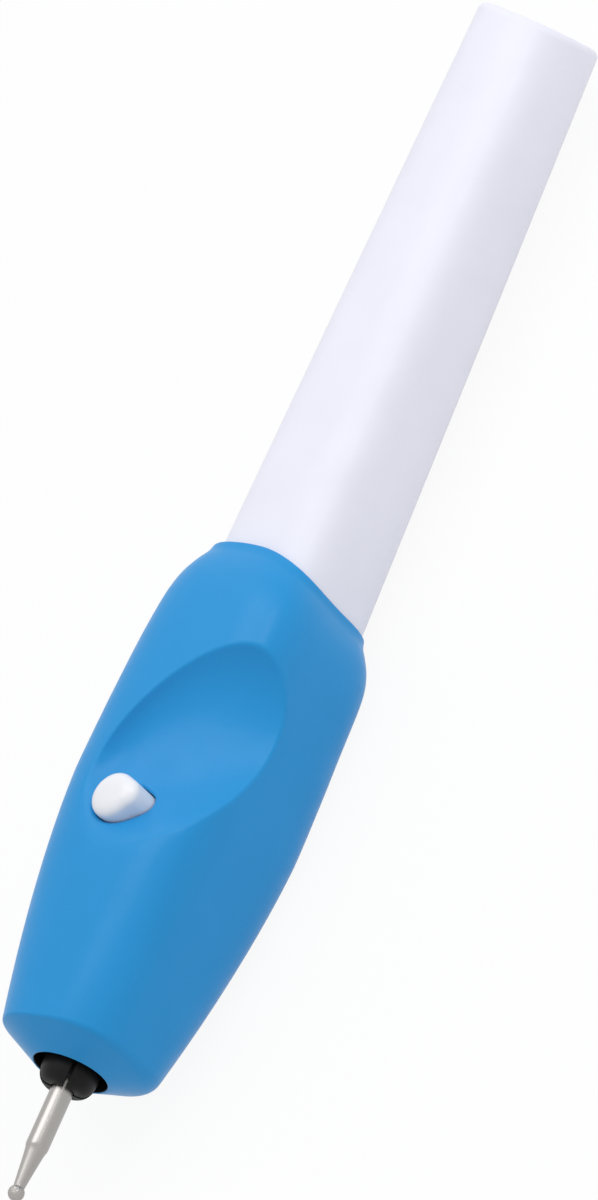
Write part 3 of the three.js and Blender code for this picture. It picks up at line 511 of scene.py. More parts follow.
def grip_rings(x, inset, angles, shifted=True):
    """The grip's sections, set in by an inset. x and inset hold one value a ring, or one a point.
    Near the collar the sections sink with the sleeve, off its middle by the lip's offset."""
    x, inset = np.broadcast_arrays(np.asarray(x, float), np.asarray(inset, float))
    if x.ndim == 1:
        x, inset = x[:, None], inset[:, None]
    share = collar_share(x)
    y, z = superellipse(grip_half(x) - inset, grip_power(x), angles)
    x = x + rim_shift(x, y, z) * shifted
    return np.stack([x, y - LIP_OFFSET * share, z + (LIP_OFFSET - SLEEVE_DROP) * share], -1)


def rim_heights(angles):
    """Height along the dish's up at which the grip's outside is met over its rim, by halving."""
    foot = (DISH_FOOT + DISH_LENGTH * np.cos(angles)[:, None] * DISH_ALONG
            + DISH_WIDTH * np.sin(angles)[:, None] * DISH_ACROSS)
    low, high = np.zeros_like(angles), np.full_like(angles, 2 * GRIP_HALF)
    for _ in range(HALVINGS):
        middle = (low + high) / 2
        x, y, z = (foot + middle[:, None] * DISH_UP).T
        station = x
        for _ in range(STATION_STEPS):
            share = collar_share(station)
            side, flat = y + LIP_OFFSET * share, z - (LIP_OFFSET - SLEEVE_DROP) * share
            station = x - rim_shift(station, side, flat)
        power = grip_power(station)
        inside = np.abs(side) ** power + np.abs(flat) ** power < grip_half(station) ** power
        low, high = np.where(inside, middle, low), np.where(inside, high, middle)
    return low


def dished(points, grow=0.0):
    """Presses the thumb dish into points of the grip. A film hangs over the rim, where each wave
    of the rim's height fades inwards by its own power of r. The bowl is depth * (1 - r^squareness)
    below it, and depth * (1 - r^2)^softness towards the button, times a skew that makes its -Y
    side deeper. Where the bowl is lower than the surface, with a rounded change between the two,
    a point moves down."""
    around = full_turn(RIM_SAMPLES)
    rim = rim_heights(around)
    height = points @ DISH_UP
    along = (points - DISH_FOOT) @ DISH_ALONG / (DISH_LENGTH + grow)
    across = (points - DISH_FOOT) @ DISH_ACROSS / (DISH_WIDTH + grow)
    r, angle = np.hypot(along, across), np.arctan2(across, along)
    inside = np.minimum(r, 1)
    film = np.full_like(r, rim.mean())
    for wave in range(1, RIM_WAVES + 1):
        c, s = 2 * (rim * np.cos(wave * around)).mean(), 2 * (rim * np.sin(wave * around)).mean()
        film += inside ** wave * (c * np.cos(wave * angle) + s * np.sin(wave * angle))
    soft = 1 - fade((inside * np.cos(angle) - DISH_SOFT_FROM) / DISH_SOFT_OVER)
    profile = mix(1 - inside ** DISH_SQUARENESS, (1 - inside ** 2) ** DISH_SOFTNESS, soft)
    beyond = mix(DISH_SQUARENESS, DISH_SOFT_SLOPE, soft) * np.maximum(r - 1, 0)
    skew = 1 - DISH_SKEW * inside * np.sin(angle)
    bowl = film - DISH_DEPTH * (profile - beyond) * skew - grow
    near = np.maximum(DISH_EDGE - np.abs(height - bowl), 0) / DISH_EDGE
    lower = np.minimum(height, bowl) - near ** 2 * DISH_EDGE / 4
    return points + (lower - height)[..., None] * DISH_UP


def button_ring(grow):
    """The button's outline in x and y: a large and a small round end joined by their tangents."""
    tangent = math.acos((BUTTON_BIG - BUTTON_SMALL) / BUTTON_SPREAD)
    ends = []
    for middle, radius, angle in (
        (-BUTTON_SPREAD / 2, BUTTON_BIG, np.linspace(tangent, 2 * np.pi - tangent, BIG_END_POINTS)),
        (BUTTON_SPREAD / 2, BUTTON_SMALL,
         np.linspace(-tangent, tangent, BUTTON_POINTS - BIG_END_POINTS)),
    ):
        reach = radius + grow
        ends.append(np.column_stack([middle + reach * np.cos(angle), reach * np.sin(angle)]))
    along, across = np.vstack(ends).T
    x, y = rotated(along, across, BUTTON_TURN)
    return np.column_stack([BUTTON_X + x, BUTTON_SIDE + y])


def rolled(points):
    """Rounds the edge of the button's well: within WELL_ROUND of the well's outline a point sinks
    by R - sqrt(R^2 - (R - distance)^2)."""
    along, across = rotated(points[..., 0] - BUTTON_X, points[..., 1] - BUTTON_SIDE, -BUTTON_TURN)
    along, across = along + BUTTON_SPREAD / 2, np.abs(across)
    sine = (BUTTON_BIG - BUTTON_SMALL) / BUTTON_SPREAD
    cosine = math.sqrt(1 - sine ** 2)
    forward = along * cosine - across * sine
    side = across * cosine + along * sine - BUTTON_BIG
    big = np.hypot(along, across) - BUTTON_BIG
    small = np.hypot(along - BUTTON_SPREAD, across) - BUTTON_SMALL
    away = np.where(forward > cosine * BUTTON_SPREAD, small, side)
    away = np.where(forward < 0, big, away) - BUTTON_GAP
    inward = np.clip(WELL_ROUND - away, 0, WELL_ROUND)
    sink = WELL_ROUND - np.sqrt(WELL_ROUND ** 2 - inward ** 2)
    sunk = points.copy()
    sunk[..., 2] -= np.where(points[..., 2] > WELL_BOTTOM, sink, 0)
    return sunk


def button_prism(grow, z0, z1):
    """The button's outline, grown, as an upright prism to cut with."""
    return skin("well", [level_ring(button_ring(grow), z) for z in (z0, z1)])


def nose_rim(angles):
    """Rings round the nose's rim. Its rounding grows from crisp at the -Y +Z corner to soft at the
    opposite one, and each point comes from a section as far ahead and as far in as its own
    rounding asks."""
    y, z = grip_rings([RIM_X], 0, angles)[0, :, 1:].T
    soft = (1 + np.cos(np.arctan2(z, y) + np.pi / 4)) / 2
    radius = mix(NOSE_ROUND_CRISP, NOSE_ROUND_SOFT, soft ** 2)
    turn = np.linspace(0, NOSE_ROUND_TURN, 12)[:, None]
    ahead, inward = radius * (np.sin(turn) - NOSE_ROUND_START), radius * (1 - np.cos(turn))
    return grip_rings(RIM_X + ahead, inward, angles)


def grip_body(name):
    """The grip's whole outside as one skin, from the socket's floor out over the lip, along the
    outside with its dish, round the nose rim, in over the nose cone and down the nose's bore."""
    mouth_x = COLLAR_X + SOCKET_MOUTH
    socket_x = np.linspace(BULKHEAD_X, mouth_x, 8)
    socket = sleeve_rings(socket_x, SLIDE_GAP, GRIP_ANGLES, lean=False)
    share = 1 - fade((BULKHEAD_X - socket_x) / (BULKHEAD_X - mouth_x))
    wave = collar_wave(socket[..., 1], socket[..., 2] + SLEEVE_DROP)
    socket[..., 0] += share[:, None] * wave
    back, inward = rounding(LIP_ROUND, 6)
    lip = grip_rings(COLLAR_X + back, inward, GRIP_ANGLES)[::-1]
    stations = np.concatenate([
        np.linspace(COLLAR_X + LIP_ROUND + 0.1, DISH_STATIONS[0], 36, endpoint=False),
        np.linspace(*DISH_STATIONS, 150, endpoint=False),
        np.linspace(DISH_STATIONS[1], RIM_X - NOSE_ROUND_SOFT, 34),
    ])
    outside = grip_rings(stations, 0, GRIP_ANGLES)
    rim = nose_rim(GRIP_ANGLES)
    edge_x, edge_radius = NOSE_X - HOLE_BEHIND_FACE, NOSE_HOLE + HOLE_ROUND
    edge = round_rings(edge_x, edge_radius, GRIP_ANGLES)
    cone = mix(rim[-1], edge, np.linspace(0, 1, 8)[1:, None, None])
    inward, back = rounding(HOLE_ROUND, 5)
    bore_x = np.concatenate([edge_x - back[1:], [NOSE_X - BORE_MIDDLE, RIM_X - BORE_DEPTH]])
    bore_radius = np.concatenate([NOSE_HOLE + inward[1:], [NOSE_HOLE, NOSE_HOLE]])
    bore = round_rings(bore_x, bore_radius, GRIP_ANGLES)
    pressed = rolled(dished(np.concatenate([lip, outside, rim])))
    return skin(name, np.concatenate([socket, pressed, cone, bore]))


def grip_room(inset, x0, x1, dish=True):
    """The room inside the grip, set in from its outside."""
    rings = grip_rings(np.linspace(x0, x1, 48), inset, full_turn(96), shifted=False)
    return skin("room", dished(rings, grow=HOUSING_WALL) if dish else rings)


def cover_wedge(gap):
    """The wedge of the grip's underside that the cover fills, less a gap all round."""
    side, slope = gap / math.cos(COVER_ANGLE), math.tan(COVER_ANGLE)
    depth = GRIP_HALF + 2 * OVERCUT
    reach = depth * slope - side
    y, z = (0, reach, -reach), (-side / slope, -depth, -depth)
    return skin("wedge", [flat_ring(x, y, z) for x in (COVER_REAR + gap, COVER_FRONT - gap)])


def seat_rib(x0, x1, radius, bottom=-GRIP_HALF):
    """A rib across the room with a round seat that stays open downwards."""
    rib = block("rib", (x0, -GRIP_HALF, bottom), (x1, GRIP_HALF, GRIP_HALF))
    x0, x1 = x0 - OVERCUT, x1 + OVERCUT
    seat = turned("seat", [(x0, 0), (x0, radius), (x1, radius), (x1, 0)], 96)
    mouth = block("mouth", (x0, -radius, -GRIP_HALF - OVERCUT), (x1, radius, 0))
    return carve(rib, seat, mouth)


def belly_flat(x0, x1):
    """What lies below the belly's flat, to cut with."""
    return block("flat", (x0, -GRIP_HALF, -GRIP_HALF - OVERCUT), (x1, GRIP_HALF, BELLY_Z))


def cover_room(inset):
    """The room over the cover's whole length, without the dish."""
    return grip_room(inset, COVER_REAR - 2 * OVERCUT, COVER_FRONT + 2 * OVERCUT, dish=False)


def grip_housing():
    """The grip's body less its ribbed room, the cover's wedge, the hole for the tray, the button's
    well and the belly's flat."""
    ribs = [seat_rib(x, x + CRADLE_RIB, MOTOR_RADIUS + SEAT_GAP)
            for x in (CAN_X + CRADLE_INSET, MOTOR_FRONT - CRADLE_FRONT_INSET)]
    ribs.append(seat_rib(MOTOR_FRONT + SEAT_GAP, BOSS_END + BOSS_SEAT_REACH,
                         BOSS_RADIUS + SEAT_GAP, -BOSS_RADIUS - BOSS_SEAT_WALL))
    ribs.append(button_prism(BUTTON_GAP + WELL_WALL, WELL_BOTTOM, GRIP_HALF))
    room = carve(grip_room(HOUSING_WALL, ROOM_X, RIM_X - ROOM_BEHIND_RIM), *ribs)
    below = carve(cover_wedge(-COVER_GAP), cover_room(HOUSING_WALL + SEAT_GAP))
    y, z = superellipse(TRAY_HALF + SEAT_GAP, TRAY_POWER, full_turn(96))
    hole = skin("hole", [flat_ring(x, y, z) for x in (BULKHEAD_X - OVERCUT, ROOM_X + OVERCUT)])
    well = button_prism(BUTTON_GAP, WELL_CUT, GRIP_HALF + 2 * OVERCUT)
    flat = belly_flat(COLLAR_X, COVER_FRONT)
    return smooth(carve(grip_body("grip_shell"), room, below, hole, well, flat))


def belly_cover():
    """The grip's body within the wedge, hollow and flat below, with a pocket for each screw."""
    cover = carve(grip_body("belly_shell"), cover_wedge(COVER_GAP), how="INTERSECT")
    flat = belly_flat(COVER_REAR - OVERCUT, COVER_FRONT + OVERCUT)
    radius = HEAD_RADIUS + SEAT_GAP
    rows = [(-GRIP_HALF - OVERCUT, radius), (HEAD_TOP + SEAT_GAP, radius)]
    pockets = [post("pocket", side * POST_SIDE, rows) for side in (1, -1)]
    return smooth(carve(cover, cover_room(HOUSING_WALL), flat, *pockets))


def post(name, y, rows):
    """A profile of (z, radius) turned about an upright line at the screws' station."""
    around = full_turn(48)
    rings = [level_ring(np.column_stack([POST_X + r * np.cos(around), y + r * np.sin(around)]), z)
             for z, r in rows]
    return skin(name, rings)


def sleeve_shell():
    """The sleeve as one skin: inside from its tail wall to its mouth, over the rounded mouth, and
    back along the outside to the rounded tail edge and the flat oblique tail."""
    angles = full_turn(240)
    inside_x = np.concatenate([np.linspace(TAIL_WALL, TAIL_FADE, 14),
                               np.linspace(TAIL_FADE, SLEEVE_END, 12)[1:-1]])
    back, inward = rounding(MOUTH_ROUND, 5)
    outside_x = np.concatenate([np.linspace(SLEEVE_END, TAIL_FADE, 40)[1:],
                                np.linspace(TAIL_FADE, TAIL_ROUND + 0.1, 24)[1:]])
    tail_back, tail_inward = rounding(TAIL_ROUND, 9)
    sections = [
        (inside_x, -SLEEVE_WALL),
        (SLEEVE_END - back, inward - SLEEVE_WALL),
        (SLEEVE_END - inward, -back),
        (outside_x, 0),
        (tail_back, -tail_inward),
        (np.zeros(3), -np.array(TAIL_FACE_INSETS)),
    ]
    rings = np.concatenate([sleeve_rings(x, grow, angles) for x, grow in sections])
    return smooth(skin("sleeve_shell", rings))


def push_button():
    """The button: foot and flange below, a straight wall, and a dome whose outline shrinks by
    (1 - t^n)^(1/n) as it rises by t of the dome's height, n being its fullness."""
    middle = np.array([BUTTON_X, BUTTON_SIDE])
    edge, full = BUTTON_TOP - BUTTON_DOME, BUTTON_FULLNESS
    rows = [(FLANGE_BOTTOM, BUTTON_FLANGE, 1), (FLANGE_TOP, BUTTON_FLANGE, 1), (FLANGE_TOP, 0, 1)]
    rows += [(z, 0, 1) for z in np.linspace(FLANGE_TOP + WALL_ABOVE_FLANGE, edge, 6)]
    rise = np.sin(np.linspace(0, np.pi / 2, 22))[1:-1]
    rows += [(edge + BUTTON_DOME * t, 0, (1 - t ** full) ** (1 / full)) for t in rise]
    rings = [level_ring(middle + (button_ring(grow) - middle) * scale, z)
             for z, grow, scale in rows]
    rings[-1][:, 2] = BUTTON_TOP
    turn = full_turn(32)
    outline = middle + FOOT_RADIUS * np.column_stack([np.cos(turn), np.sin(turn)])
    foot = skin("foot", [level_ring(outline, z) for z in (FOOT_Z, FLANGE_BOTTOM + FOOT_OVERLAP)])
    return smooth(carve(skin("push_button", rings), foot, how="UNION"))


def chuck():
    """The chuck's cap: a turned, domed body with its bore, cut by two crossing slits."""
    bore, hole = INSERT_RADIUS + INSERT_GAP, SHANK_RADIUS + SHANK_GAP
    face = SHANK_RADIUS + CHUCK_FACE
    back, inward = rounding(1, 10)
    dome = np.column_stack([CHUCK_END - CHUCK_DOME * back,
                            mix(face, CHUCK_RADIUS, (1 - inward) ** CHUCK_DOME_POWER)])
    rear = [(CHUCK_X, bore), (CHUCK_X, CHUCK_RADIUS - CHUCK_CHAMFER),
            (CHUCK_X + CHUCK_CHAMFER, CHUCK_RADIUS)]
    front = [(CHUCK_END - CHUCK_FACE_SINK, hole), (CHUCK_END - CHUCK_LIP, hole),
             (CHUCK_END - CHUCK_LIP, bore)]
    cap = turned("chuck_jaws", np.vstack([rear, dome, front]), 96)
    across, thick = CHUCK_RADIUS + OVERCUT / 2, SLOT_WIDTH / 2
    u, v = np.array([-1, 1, 1, -1]) * across, np.array([-1, -1, 1, 1]) * thick
    for turn in (math.pi / 4, 3 * math.pi / 4):
        y, z = rotated(u, v, turn)
        slit = [flat_ring(x, y, z) for x in (CHUCK_END - SLOT_DEPTH, CHUCK_END + OVERCUT)]
        carve(cap, skin("slit", slit))
    return bevelled(smooth(cap), CHUCK_EDGE)


def burr():
    """The burr as one turned profile: chamfered end, straight shank, a short step, a cone that
    eases into the neck, and a ball."""
    cone_x = CHUCK_END + BURR_TAPER_START
    ball_x = CHUCK_END + BURR_EXPOSED - BALL_RADIUS
    meets = math.asin(NECK_RADIUS / BALL_RADIUS)
    neck_x = ball_x - BALL_RADIUS * math.cos(meets)
    end = [(BURR_X, 0), (BURR_X, SHANK_RADIUS - SHANK_CHAMFER),
           (BURR_X + SHANK_CHAMFER, SHANK_RADIUS)]
    shank = [(x, SHANK_RADIUS) for x in np.linspace(BURR_X + 1, cone_x - 0.5, 12)]
    step = [(cone_x + x, SHANK_RADIUS - drop) for x, drop in BURR_STEP]
    start_x, start_radius = step.pop()
    t = np.linspace(0, 1, 16)
    cone = np.column_stack([mix(start_x, neck_x - NECK_EASE, t),
                            mix(start_radius, NECK_RADIUS, t ** CONE_POWER)])
    angle = np.linspace(np.pi - meets, 0, 24)
    ball = np.column_stack([ball_x + BALL_RADIUS * np.cos(angle), BALL_RADIUS * np.sin(angle)])
    return smooth(turned("ball_burr", np.vstack([end, shank, step, cone, ball]), 72), 30)


def cell(name, index):
    """A cell: nickel base, shrink film rolled over both shoulders, a groove, and the nickel nub."""
    x = CELLS_X + index * (CELL_LENGTH + SEAT_GAP)
    end = x + CELL_LENGTH
    shoulder = end - NUB_LENGTH
    base = [(x + FACE_SINK, 0), (x + FACE_SINK, FACE_RADIUS), (x, FACE_RADIUS + FACE_EDGE),
            (x, CELL_RADIUS - FILM_ROUND_FRONT)]
    back, inward = rounding(FILM_ROUND_REAR, 6)
    rear = np.column_stack([x + back, CELL_RADIUS - inward])[::-1]
    side = [(v, CELL_RADIUS) for v in np.linspace(x + 2, shoulder - 2, 8)]
    back, inward = rounding(FILM_ROUND_FRONT, 6)
    front = np.column_stack([shoulder - back, CELL_RADIUS - inward])
    groove_x = shoulder - GROOVE_DEPTH
    groove = [(shoulder, FACE_RADIUS), (groove_x, FACE_RADIUS - FACE_EDGE),
              (groove_x, NUB_RADIUS + GROOVE_EDGE), (shoulder, NUB_RADIUS)]
    nub = [(end - NUB_ROUND, NUB_RADIUS), (end, NUB_RADIUS - NUB_ROUND), (end, 0)]
    profile = np.vstack([base, rear, side, front, groove, nub])
    return smooth(turned(name, profile, 72), 30)


def rear_spring():
    """The spring's wire: a round section carried along a helix on a cone."""
    t = np.linspace(0, 1, int(SPRING_TURNS * SPRING_STEPS_A_TURN) + 1)[:, None]
    wire = SPRING_WIRE / 2
    angle = 2 * np.pi * SPRING_TURNS * t
    turn = full_turn(10)
    x = mix(SPRING_X + wire, CELLS_X - SEAT_GAP - wire, t) + wire * np.sin(turn)
    reach = mix(SPRING_FOOT, SPRING_TOP, t) + wire * np.cos(turn)
    rings = np.stack([x, reach * np.cos(angle), reach * np.sin(angle)], -1)
    return smooth(skin("rear_spring", rings), 50)


def screw(name, side):
    """A cover screw: shank, a low domed head that faces down, and a tapered cross pressed in."""
    y = side * POST_SIDE
    tip = HEAD_TOP + SCREW_LENGTH
    back, inward = rounding(1, 6)
    dome = np.column_stack([HEAD_BOTTOM + HEAD_DOME * back,
                            HEAD_RADIUS - HEAD_DOME_WIDTH * inward])[::-1]
    shank = [(HEAD_TOP, HEAD_RADIUS), (HEAD_TOP, SCREW_RADIUS), (tip - POINT_LENGTH, SCREW_RADIUS),
             (tip, SCREW_RADIUS - POINT_INSET)]
    body = post(name, y, np.vstack([dome, shank]))
    corner_x, corner_y = np.array([1, -1, -1, 1]), np.array([1, 1, -1, -1])
    for half_x, half_y in ((RECESS_LONG, RECESS_WIDE), (RECESS_WIDE, RECESS_LONG)):
        rings = [level_ring(np.column_stack([POST_X + corner_x * half_x * scale,
                                             y + corner_y * half_y * scale]), HEAD_BOTTOM + rise)
                 for rise, scale in RECESS_SECTIONS]
        carve(body, skin("recess", rings))
    return smooth(body, 30)


def dressed(node):
    """A merged copy of a CAD node with its round faces shaded smooth and its edges just broken."""
    work = bmesh.new()
    work.from_mesh(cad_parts[node].data)
    bmesh.ops.remove_doubles(work, verts=work.verts, dist=1e-6)
    bmesh.ops.dissolve_limit(work, angle_limit=math.radians(0.5), verts=work.verts,
                             edges=work.edges)
    mesh = bpy.data.meshes.new(node + "_dressed")
    work.to_mesh(mesh)
    work.free()
    return bevelled(smooth(placed(mesh.name, mesh), 32), INNER_EDGE, crease=50)


# Finishes

def linear(hex_colour):
    """An sRGB hex value as linear red, green, blue and alpha."""
    parts = [int(hex_colour[i:i + 2], 16) / 255 for i in (1, 3, 5)]
    return (*[c / 12.92 if c <= 0.04045 else ((c + 0.055) / 1.055) ** 2.4 for c in parts], 1)


def add(tree, kind, sockets=None, **settings):
    """Adds a shader node, sets its settings, and gives its sockets values or links."""
    node = tree.nodes.new(kind)
    for key, value in settings.items():
        setattr(node, key, value)
    for socket, value in (sockets or {}).items():
        if isinstance(value, bpy.types.NodeSocket):
            tree.links.new(value, node.inputs[socket])
        else:
            node.inputs[socket].default_value = value
    return node


def blank(name):
    """A material's node tree and Principled shader, and Object coordinates to draw patterns on."""
    material = bpy.data.materials.new(name)
    material.use_nodes = True
    tree = material.node_tree
    shader = tree.nodes["Principled BSDF"]
    return material, tree, shader, add(tree, "ShaderNodeTexCoord").outputs["Object"]


def noise(tree, at, size, detail, roughness=0.5):
    """Noise with features of about a size in millimetres, as Object coordinates are metres."""
    return add(tree, "ShaderNodeTexNoise", {"Vector": at, "Scale": 1000 / size, "Detail": detail,
                                            "Roughness": roughness}).outputs["Fac"]


def ringed(tree, at):
    """Object coordinates drawn out round the pen, so that noise on them makes rings across X."""
    drawn = add(tree, "ShaderNodeMapping", {"Vector": at, "Scale": (1, 0.02, 0.02)})
    return drawn.outputs["Vector"]


def vary_roughness(tree, shader, value, span, low, high):
    """Takes the shader's roughness from low to high while a value crosses its span."""
    change = add(tree, "ShaderNodeMapRange", {"Value": value, "From Min": span[0],
                                              "From Max": span[1], "To Min": low, "To Max": high})
    tree.links.new(change.outputs["Result"], shader.inputs["Roughness"])


def raised(tree, height, depth, **sockets):
    """The normal of a relief that is a depth in millimetres."""
    return add(tree, "ShaderNodeBump", {"Height": height, "Distance": depth / 1000, "Strength": 1.0,
                                        **sockets}).outputs["Normal"]


# The middle of a noise's range, in which nearly all of it lies
NOISE_SPAN = (0.3, 0.7)


def moulded(name, colour, rough, grain=0.28, relief=0.012, ior=1.54, sheen=0.5):
    """Injection-moulded plastic. The mould's spark-eroded grain is about 0.1 mm and drawn nearer
    0.3 mm so that it shows, over a faint flow mottle a few millimetres wide and handling marks in
    the gloss."""
    material, tree, shader, at = blank(name)
    base = linear(colour)[:3]
    tint = add(tree, "ShaderNodeMix", data_type="RGBA")
    tint.inputs[6].default_value = (*[c * 0.955 for c in base], 1)
    tint.inputs[7].default_value = (*[min(1, c * 1.03 + 0.004) for c in base], 1)
    tree.links.new(noise(tree, at, 9, 3, 0.55), tint.inputs[0])
    tree.links.new(tint.outputs[2], shader.inputs["Base Color"])
    marks = noise(tree, at, 3.2, 5, 0.6)
    vary_roughness(tree, shader, marks, NOISE_SPAN, rough - 0.05, rough + 0.05)
    tree.links.new(raised(tree, noise(tree, at, grain, 2), relief), shader.inputs["Normal"])
    shader.inputs["IOR"].default_value = ior
    shader.inputs["Specular IOR Level"].default_value = sheen
    return material


def turned_metal(name, colour, rough, pitch=0.22, relief=0.006, mottle=1.2):
    """Metal turned or ground round the pen's axis: fine rings across X, with a slow change of
    gloss."""
    material, tree, shader, at = blank(name)
    shader.inputs["Base Color"].default_value = linear(colour)
    shader.inputs["Metallic"].default_value = 1.0
    spots = noise(tree, at, mottle, 4)
    vary_roughness(tree, shader, spots, NOISE_SPAN, rough * 0.8, rough * 1.25)
    rings = noise(tree, ringed(tree, at), pitch, 3, 0.7)
    tree.links.new(raised(tree, rings, relief), shader.inputs["Normal"])
    return material


def ground_burr_steel():
    """Hardened steel. The shank is centreless ground to a fine satin with rings about 0.15 mm
    apart, the cone is duller, and the ball carries grit of about 0.17 mm bonded in nickel."""
    material, tree, shader, at = blank("ground_burr_steel")
    shader.inputs["Base Color"].default_value = linear("#AAA7A4")
    shader.inputs["Metallic"].default_value = 1.0
    along = add(tree, "ShaderNodeSeparateXYZ", {"Vector": at}).outputs["X"]
    cone_x, ball_x = [to_frame([CHUCK_END + v, 0, 0])[0]
                      for v in (BURR_TAPER_START, BURR_EXPOSED - 2 * BALL_RADIUS)]
    vary_roughness(tree, shader, along, (cone_x, cone_x + 0.0006), 0.3, 0.38)
    on_ball = add(tree, "ShaderNodeMapRange", {"Value": along, "From Min": ball_x,
                                               "From Max": ball_x + 0.0002}).outputs["Result"]
    grit = add(tree, "ShaderNodeTexVoronoi", {"Vector": at, "Scale": 1000 / 0.17})
    grind = raised(tree, noise(tree, ringed(tree, at), 0.15, 2), 0.004)
    grains = raised(tree, grit.outputs["Distance"], 0.06, Strength=on_ball, Normal=grind)
    tree.links.new(grains, shader.inputs["Normal"])
    return material


blue_abs = moulded("blue_moulded_abs", "#2192D4", 0.36, sheen=0.2)
white_abs = moulded("white_moulded_abs", "#ECECF7", 0.4, grain=0.3, relief=0.008, sheen=0.25)
white_acetal = moulded("white_moulded_acetal", "#EEEFF4", 0.24, grain=0.5, relief=0.004, ior=1.48)
# The chuck's own black moulding, also laid on the nose's bore as painted shade
black_acetal_and_bore_shade = moulded("black_moulded_acetal_and_bore_shade", "#050507", 0.5, relief=0.01, ior=1.48, sheen=0.2)
grey_abs = moulded("grey_moulded_abs", "#B9BDC2", 0.48)
black_nylon = moulded("black_moulded_nylon", "#17181C", 0.42, ior=1.53)
shrink_film = moulded("shrink_film_over_steel", "#5F666E", 0.26, grain=1.5, relief=0.01, ior=1.5)
laminate = moulded("glass_laminate_solder_mask", "#2E6B45", 0.35, grain=0.6, relief=0.01, ior=1.5)
red_pvc = moulded("red_extruded_pvc", "#B8232B", 0.42, ior=1.53)
black_pvc = moulded("black_extruded_pvc", "#1B1B1D", 0.42, ior=1.53)
yellow_pvc = moulded("yellow_extruded_pvc", "#D8B126", 0.42, ior=1.53)
nickel = turned_metal("nickel_plated_strip", "#C9CCD0", 0.3, pitch=0.4, relief=0.003)
can_plate = turned_metal("drawn_zinc_plated_can", "#B9BCC1", 0.32)
zinc_steel = turned_metal("zinc_plated_screw_steel", "#AEB2B8", 0.34, pitch=0.5)
brass = turned_metal("stamped_brass", "#C59A4A", 0.3)
black_steel = turned_metal("blackened_turned_steel", "#303033", 0.45)
bronze = turned_metal("sintered_bronze", "#9A7446", 0.5, pitch=0.3)
lamination = turned_metal("coated_lamination_steel", "#8B8C8F", 0.45, pitch=0.35, relief=0.02)
spring_steel = turned_metal("nickel_plated_spring_wire", "#BFC2C7", 0.28)
burr_steel = ground_burr_steel()


# Pieces on their bodies

def off_axis(piece):
    """x of the middles of a piece's faces off the tail, and their distance from the axis."""
    centres = np.empty(len(piece.data.polygons) * 3)
    piece.data.polygons.foreach_get("center", centres)
    x, y, z = (centres.reshape(-1, 3) * 1000 - ORIGIN).T
    return x, np.hypot(y, z)


def second_finish(piece, material, where):
    """Gives the faces where the mask is true a second finish."""
    piece.data.materials.append(material)
    piece.data.polygons.foreach_set("material_index", where.astype(np.int32))


def finish(piece, material, body, node):
    """Gives a piece its finish and body, and lets it stand for its CAD node."""
    piece.data.materials.clear()
    piece.data.materials.append(material)
    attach(piece, body)
    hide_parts(node)
    return piece


# The nose's bore looks black inside. Its faces take the chuck's black moulding as painted shade,
# standing for the dark deep inside the bore behind the rim
housing = finish(grip_housing(), blue_abs, "housing", "grip_housing")
along, away = off_axis(housing)
bore_painted_shade = (away < NOSE_HOLE + 0.05) & (along > RIM_X - BORE_DEPTH - 0.5)
second_finish(housing, black_acetal_and_bore_shade, bore_painted_shade)

finish(belly_cover(), blue_abs, "housing", "belly_cover")
finish(sleeve_shell(), white_abs, "sleeve", "battery_sleeve")
finish(push_button(), white_acetal, "button", "button_cap")
finish(chuck(), black_acetal_and_bore_shade, "spindle", "chuck_cap")
finish(burr(), burr_steel, "burr", "engraving_burr")
finish(rear_spring(), spring_steel, "housing", "contact_spring")
for hand, side in (("left", 1), ("right", -1)):
    finish(screw("cross_screw_" + hand, side), zinc_steel, "housing", "cover_screw_" + hand)

for index, node in enumerate(("cell_rear", "cell_front")):
    piece = finish(cell("film_" + node, index), shrink_film, "housing", node)
    second_finish(piece, nickel, off_axis(piece)[1] < FACE_RADIUS + 0.05)

INNER = [
    ("battery_tray", grey_abs, "housing", "grey_moulding"),
    ("front_contact", nickel, "housing", "nickel_strip"),
    ("return_strip", nickel, "housing", "nickel_strip"),
    ("motor_can", can_plate, "housing", "motor_can_plate"),
    ("motor_bush", bronze, "housing", "sintered_bronze"),
    ("motor_end_cap", black_nylon, "housing", "black_moulding"),
    ("motor_terminal_left", brass, "housing", "brass_terminal"),
    ("motor_terminal_right", brass, "housing", "brass_terminal"),
    ("motor_rotor", lamination, "spindle", "rotor_steel"),
    ("chuck_sleeve", black_steel, "spindle", "blackened_steel"),
    ("switch_plunger", white_acetal, "plunger", "white_button"),
    ("switch_body", black_nylon, "housing", "black_moulding"),
    ("switch_board", laminate, "housing", "board_laminate"),
    ("battery_lead", red_pvc, "housing", "red_insulation"),
    ("return_lead", black_pvc, "housing", "black_insulation"),
    ("switch_lead", yellow_pvc, "housing", "yellow_insulation"),
]
for node, material, body, slot in INNER:
    finish(dressed(node), material, body, node)


# Camera, light and floor

VIEW_TILT = math.radians(24.2)  # of the pen in the picture, off the upright
VIEW_ROLL = math.radians(20.5)  # of its tip towards the camera
VIEW_SPIN = math.radians(45)  # about the pen's axis
FRAME_HEIGHT = 1200  # pixels
PIXEL = 0.1237e-3  # metres
AIM_X = 81.8  # station from which the frame's middle is measured
AIM_ACROSS = 14.7  # pixels from there to the right of the pen
AIM_ALONG = 9.0  # pixels from there towards the tip
CAMERA_DISTANCE = 3.0
SENSOR = 36

# Light that falls on things, and the floor's paper
ROOM_COLOUR = (0.97, 0.985, 1.0, 1)
ROOM_STRENGTH = 0.64
PAPER_COLOUR = (0.86, 0.86, 0.86, 1)
PAPER_ROUGHNESS = 0.9
PAPER_SHEEN = 0.2
PAPER_WHITENED = 0.92  # share of the paper that is drawn plain white
FLOOR_HALF = 6
WHITE = (1, 1, 1, 1)


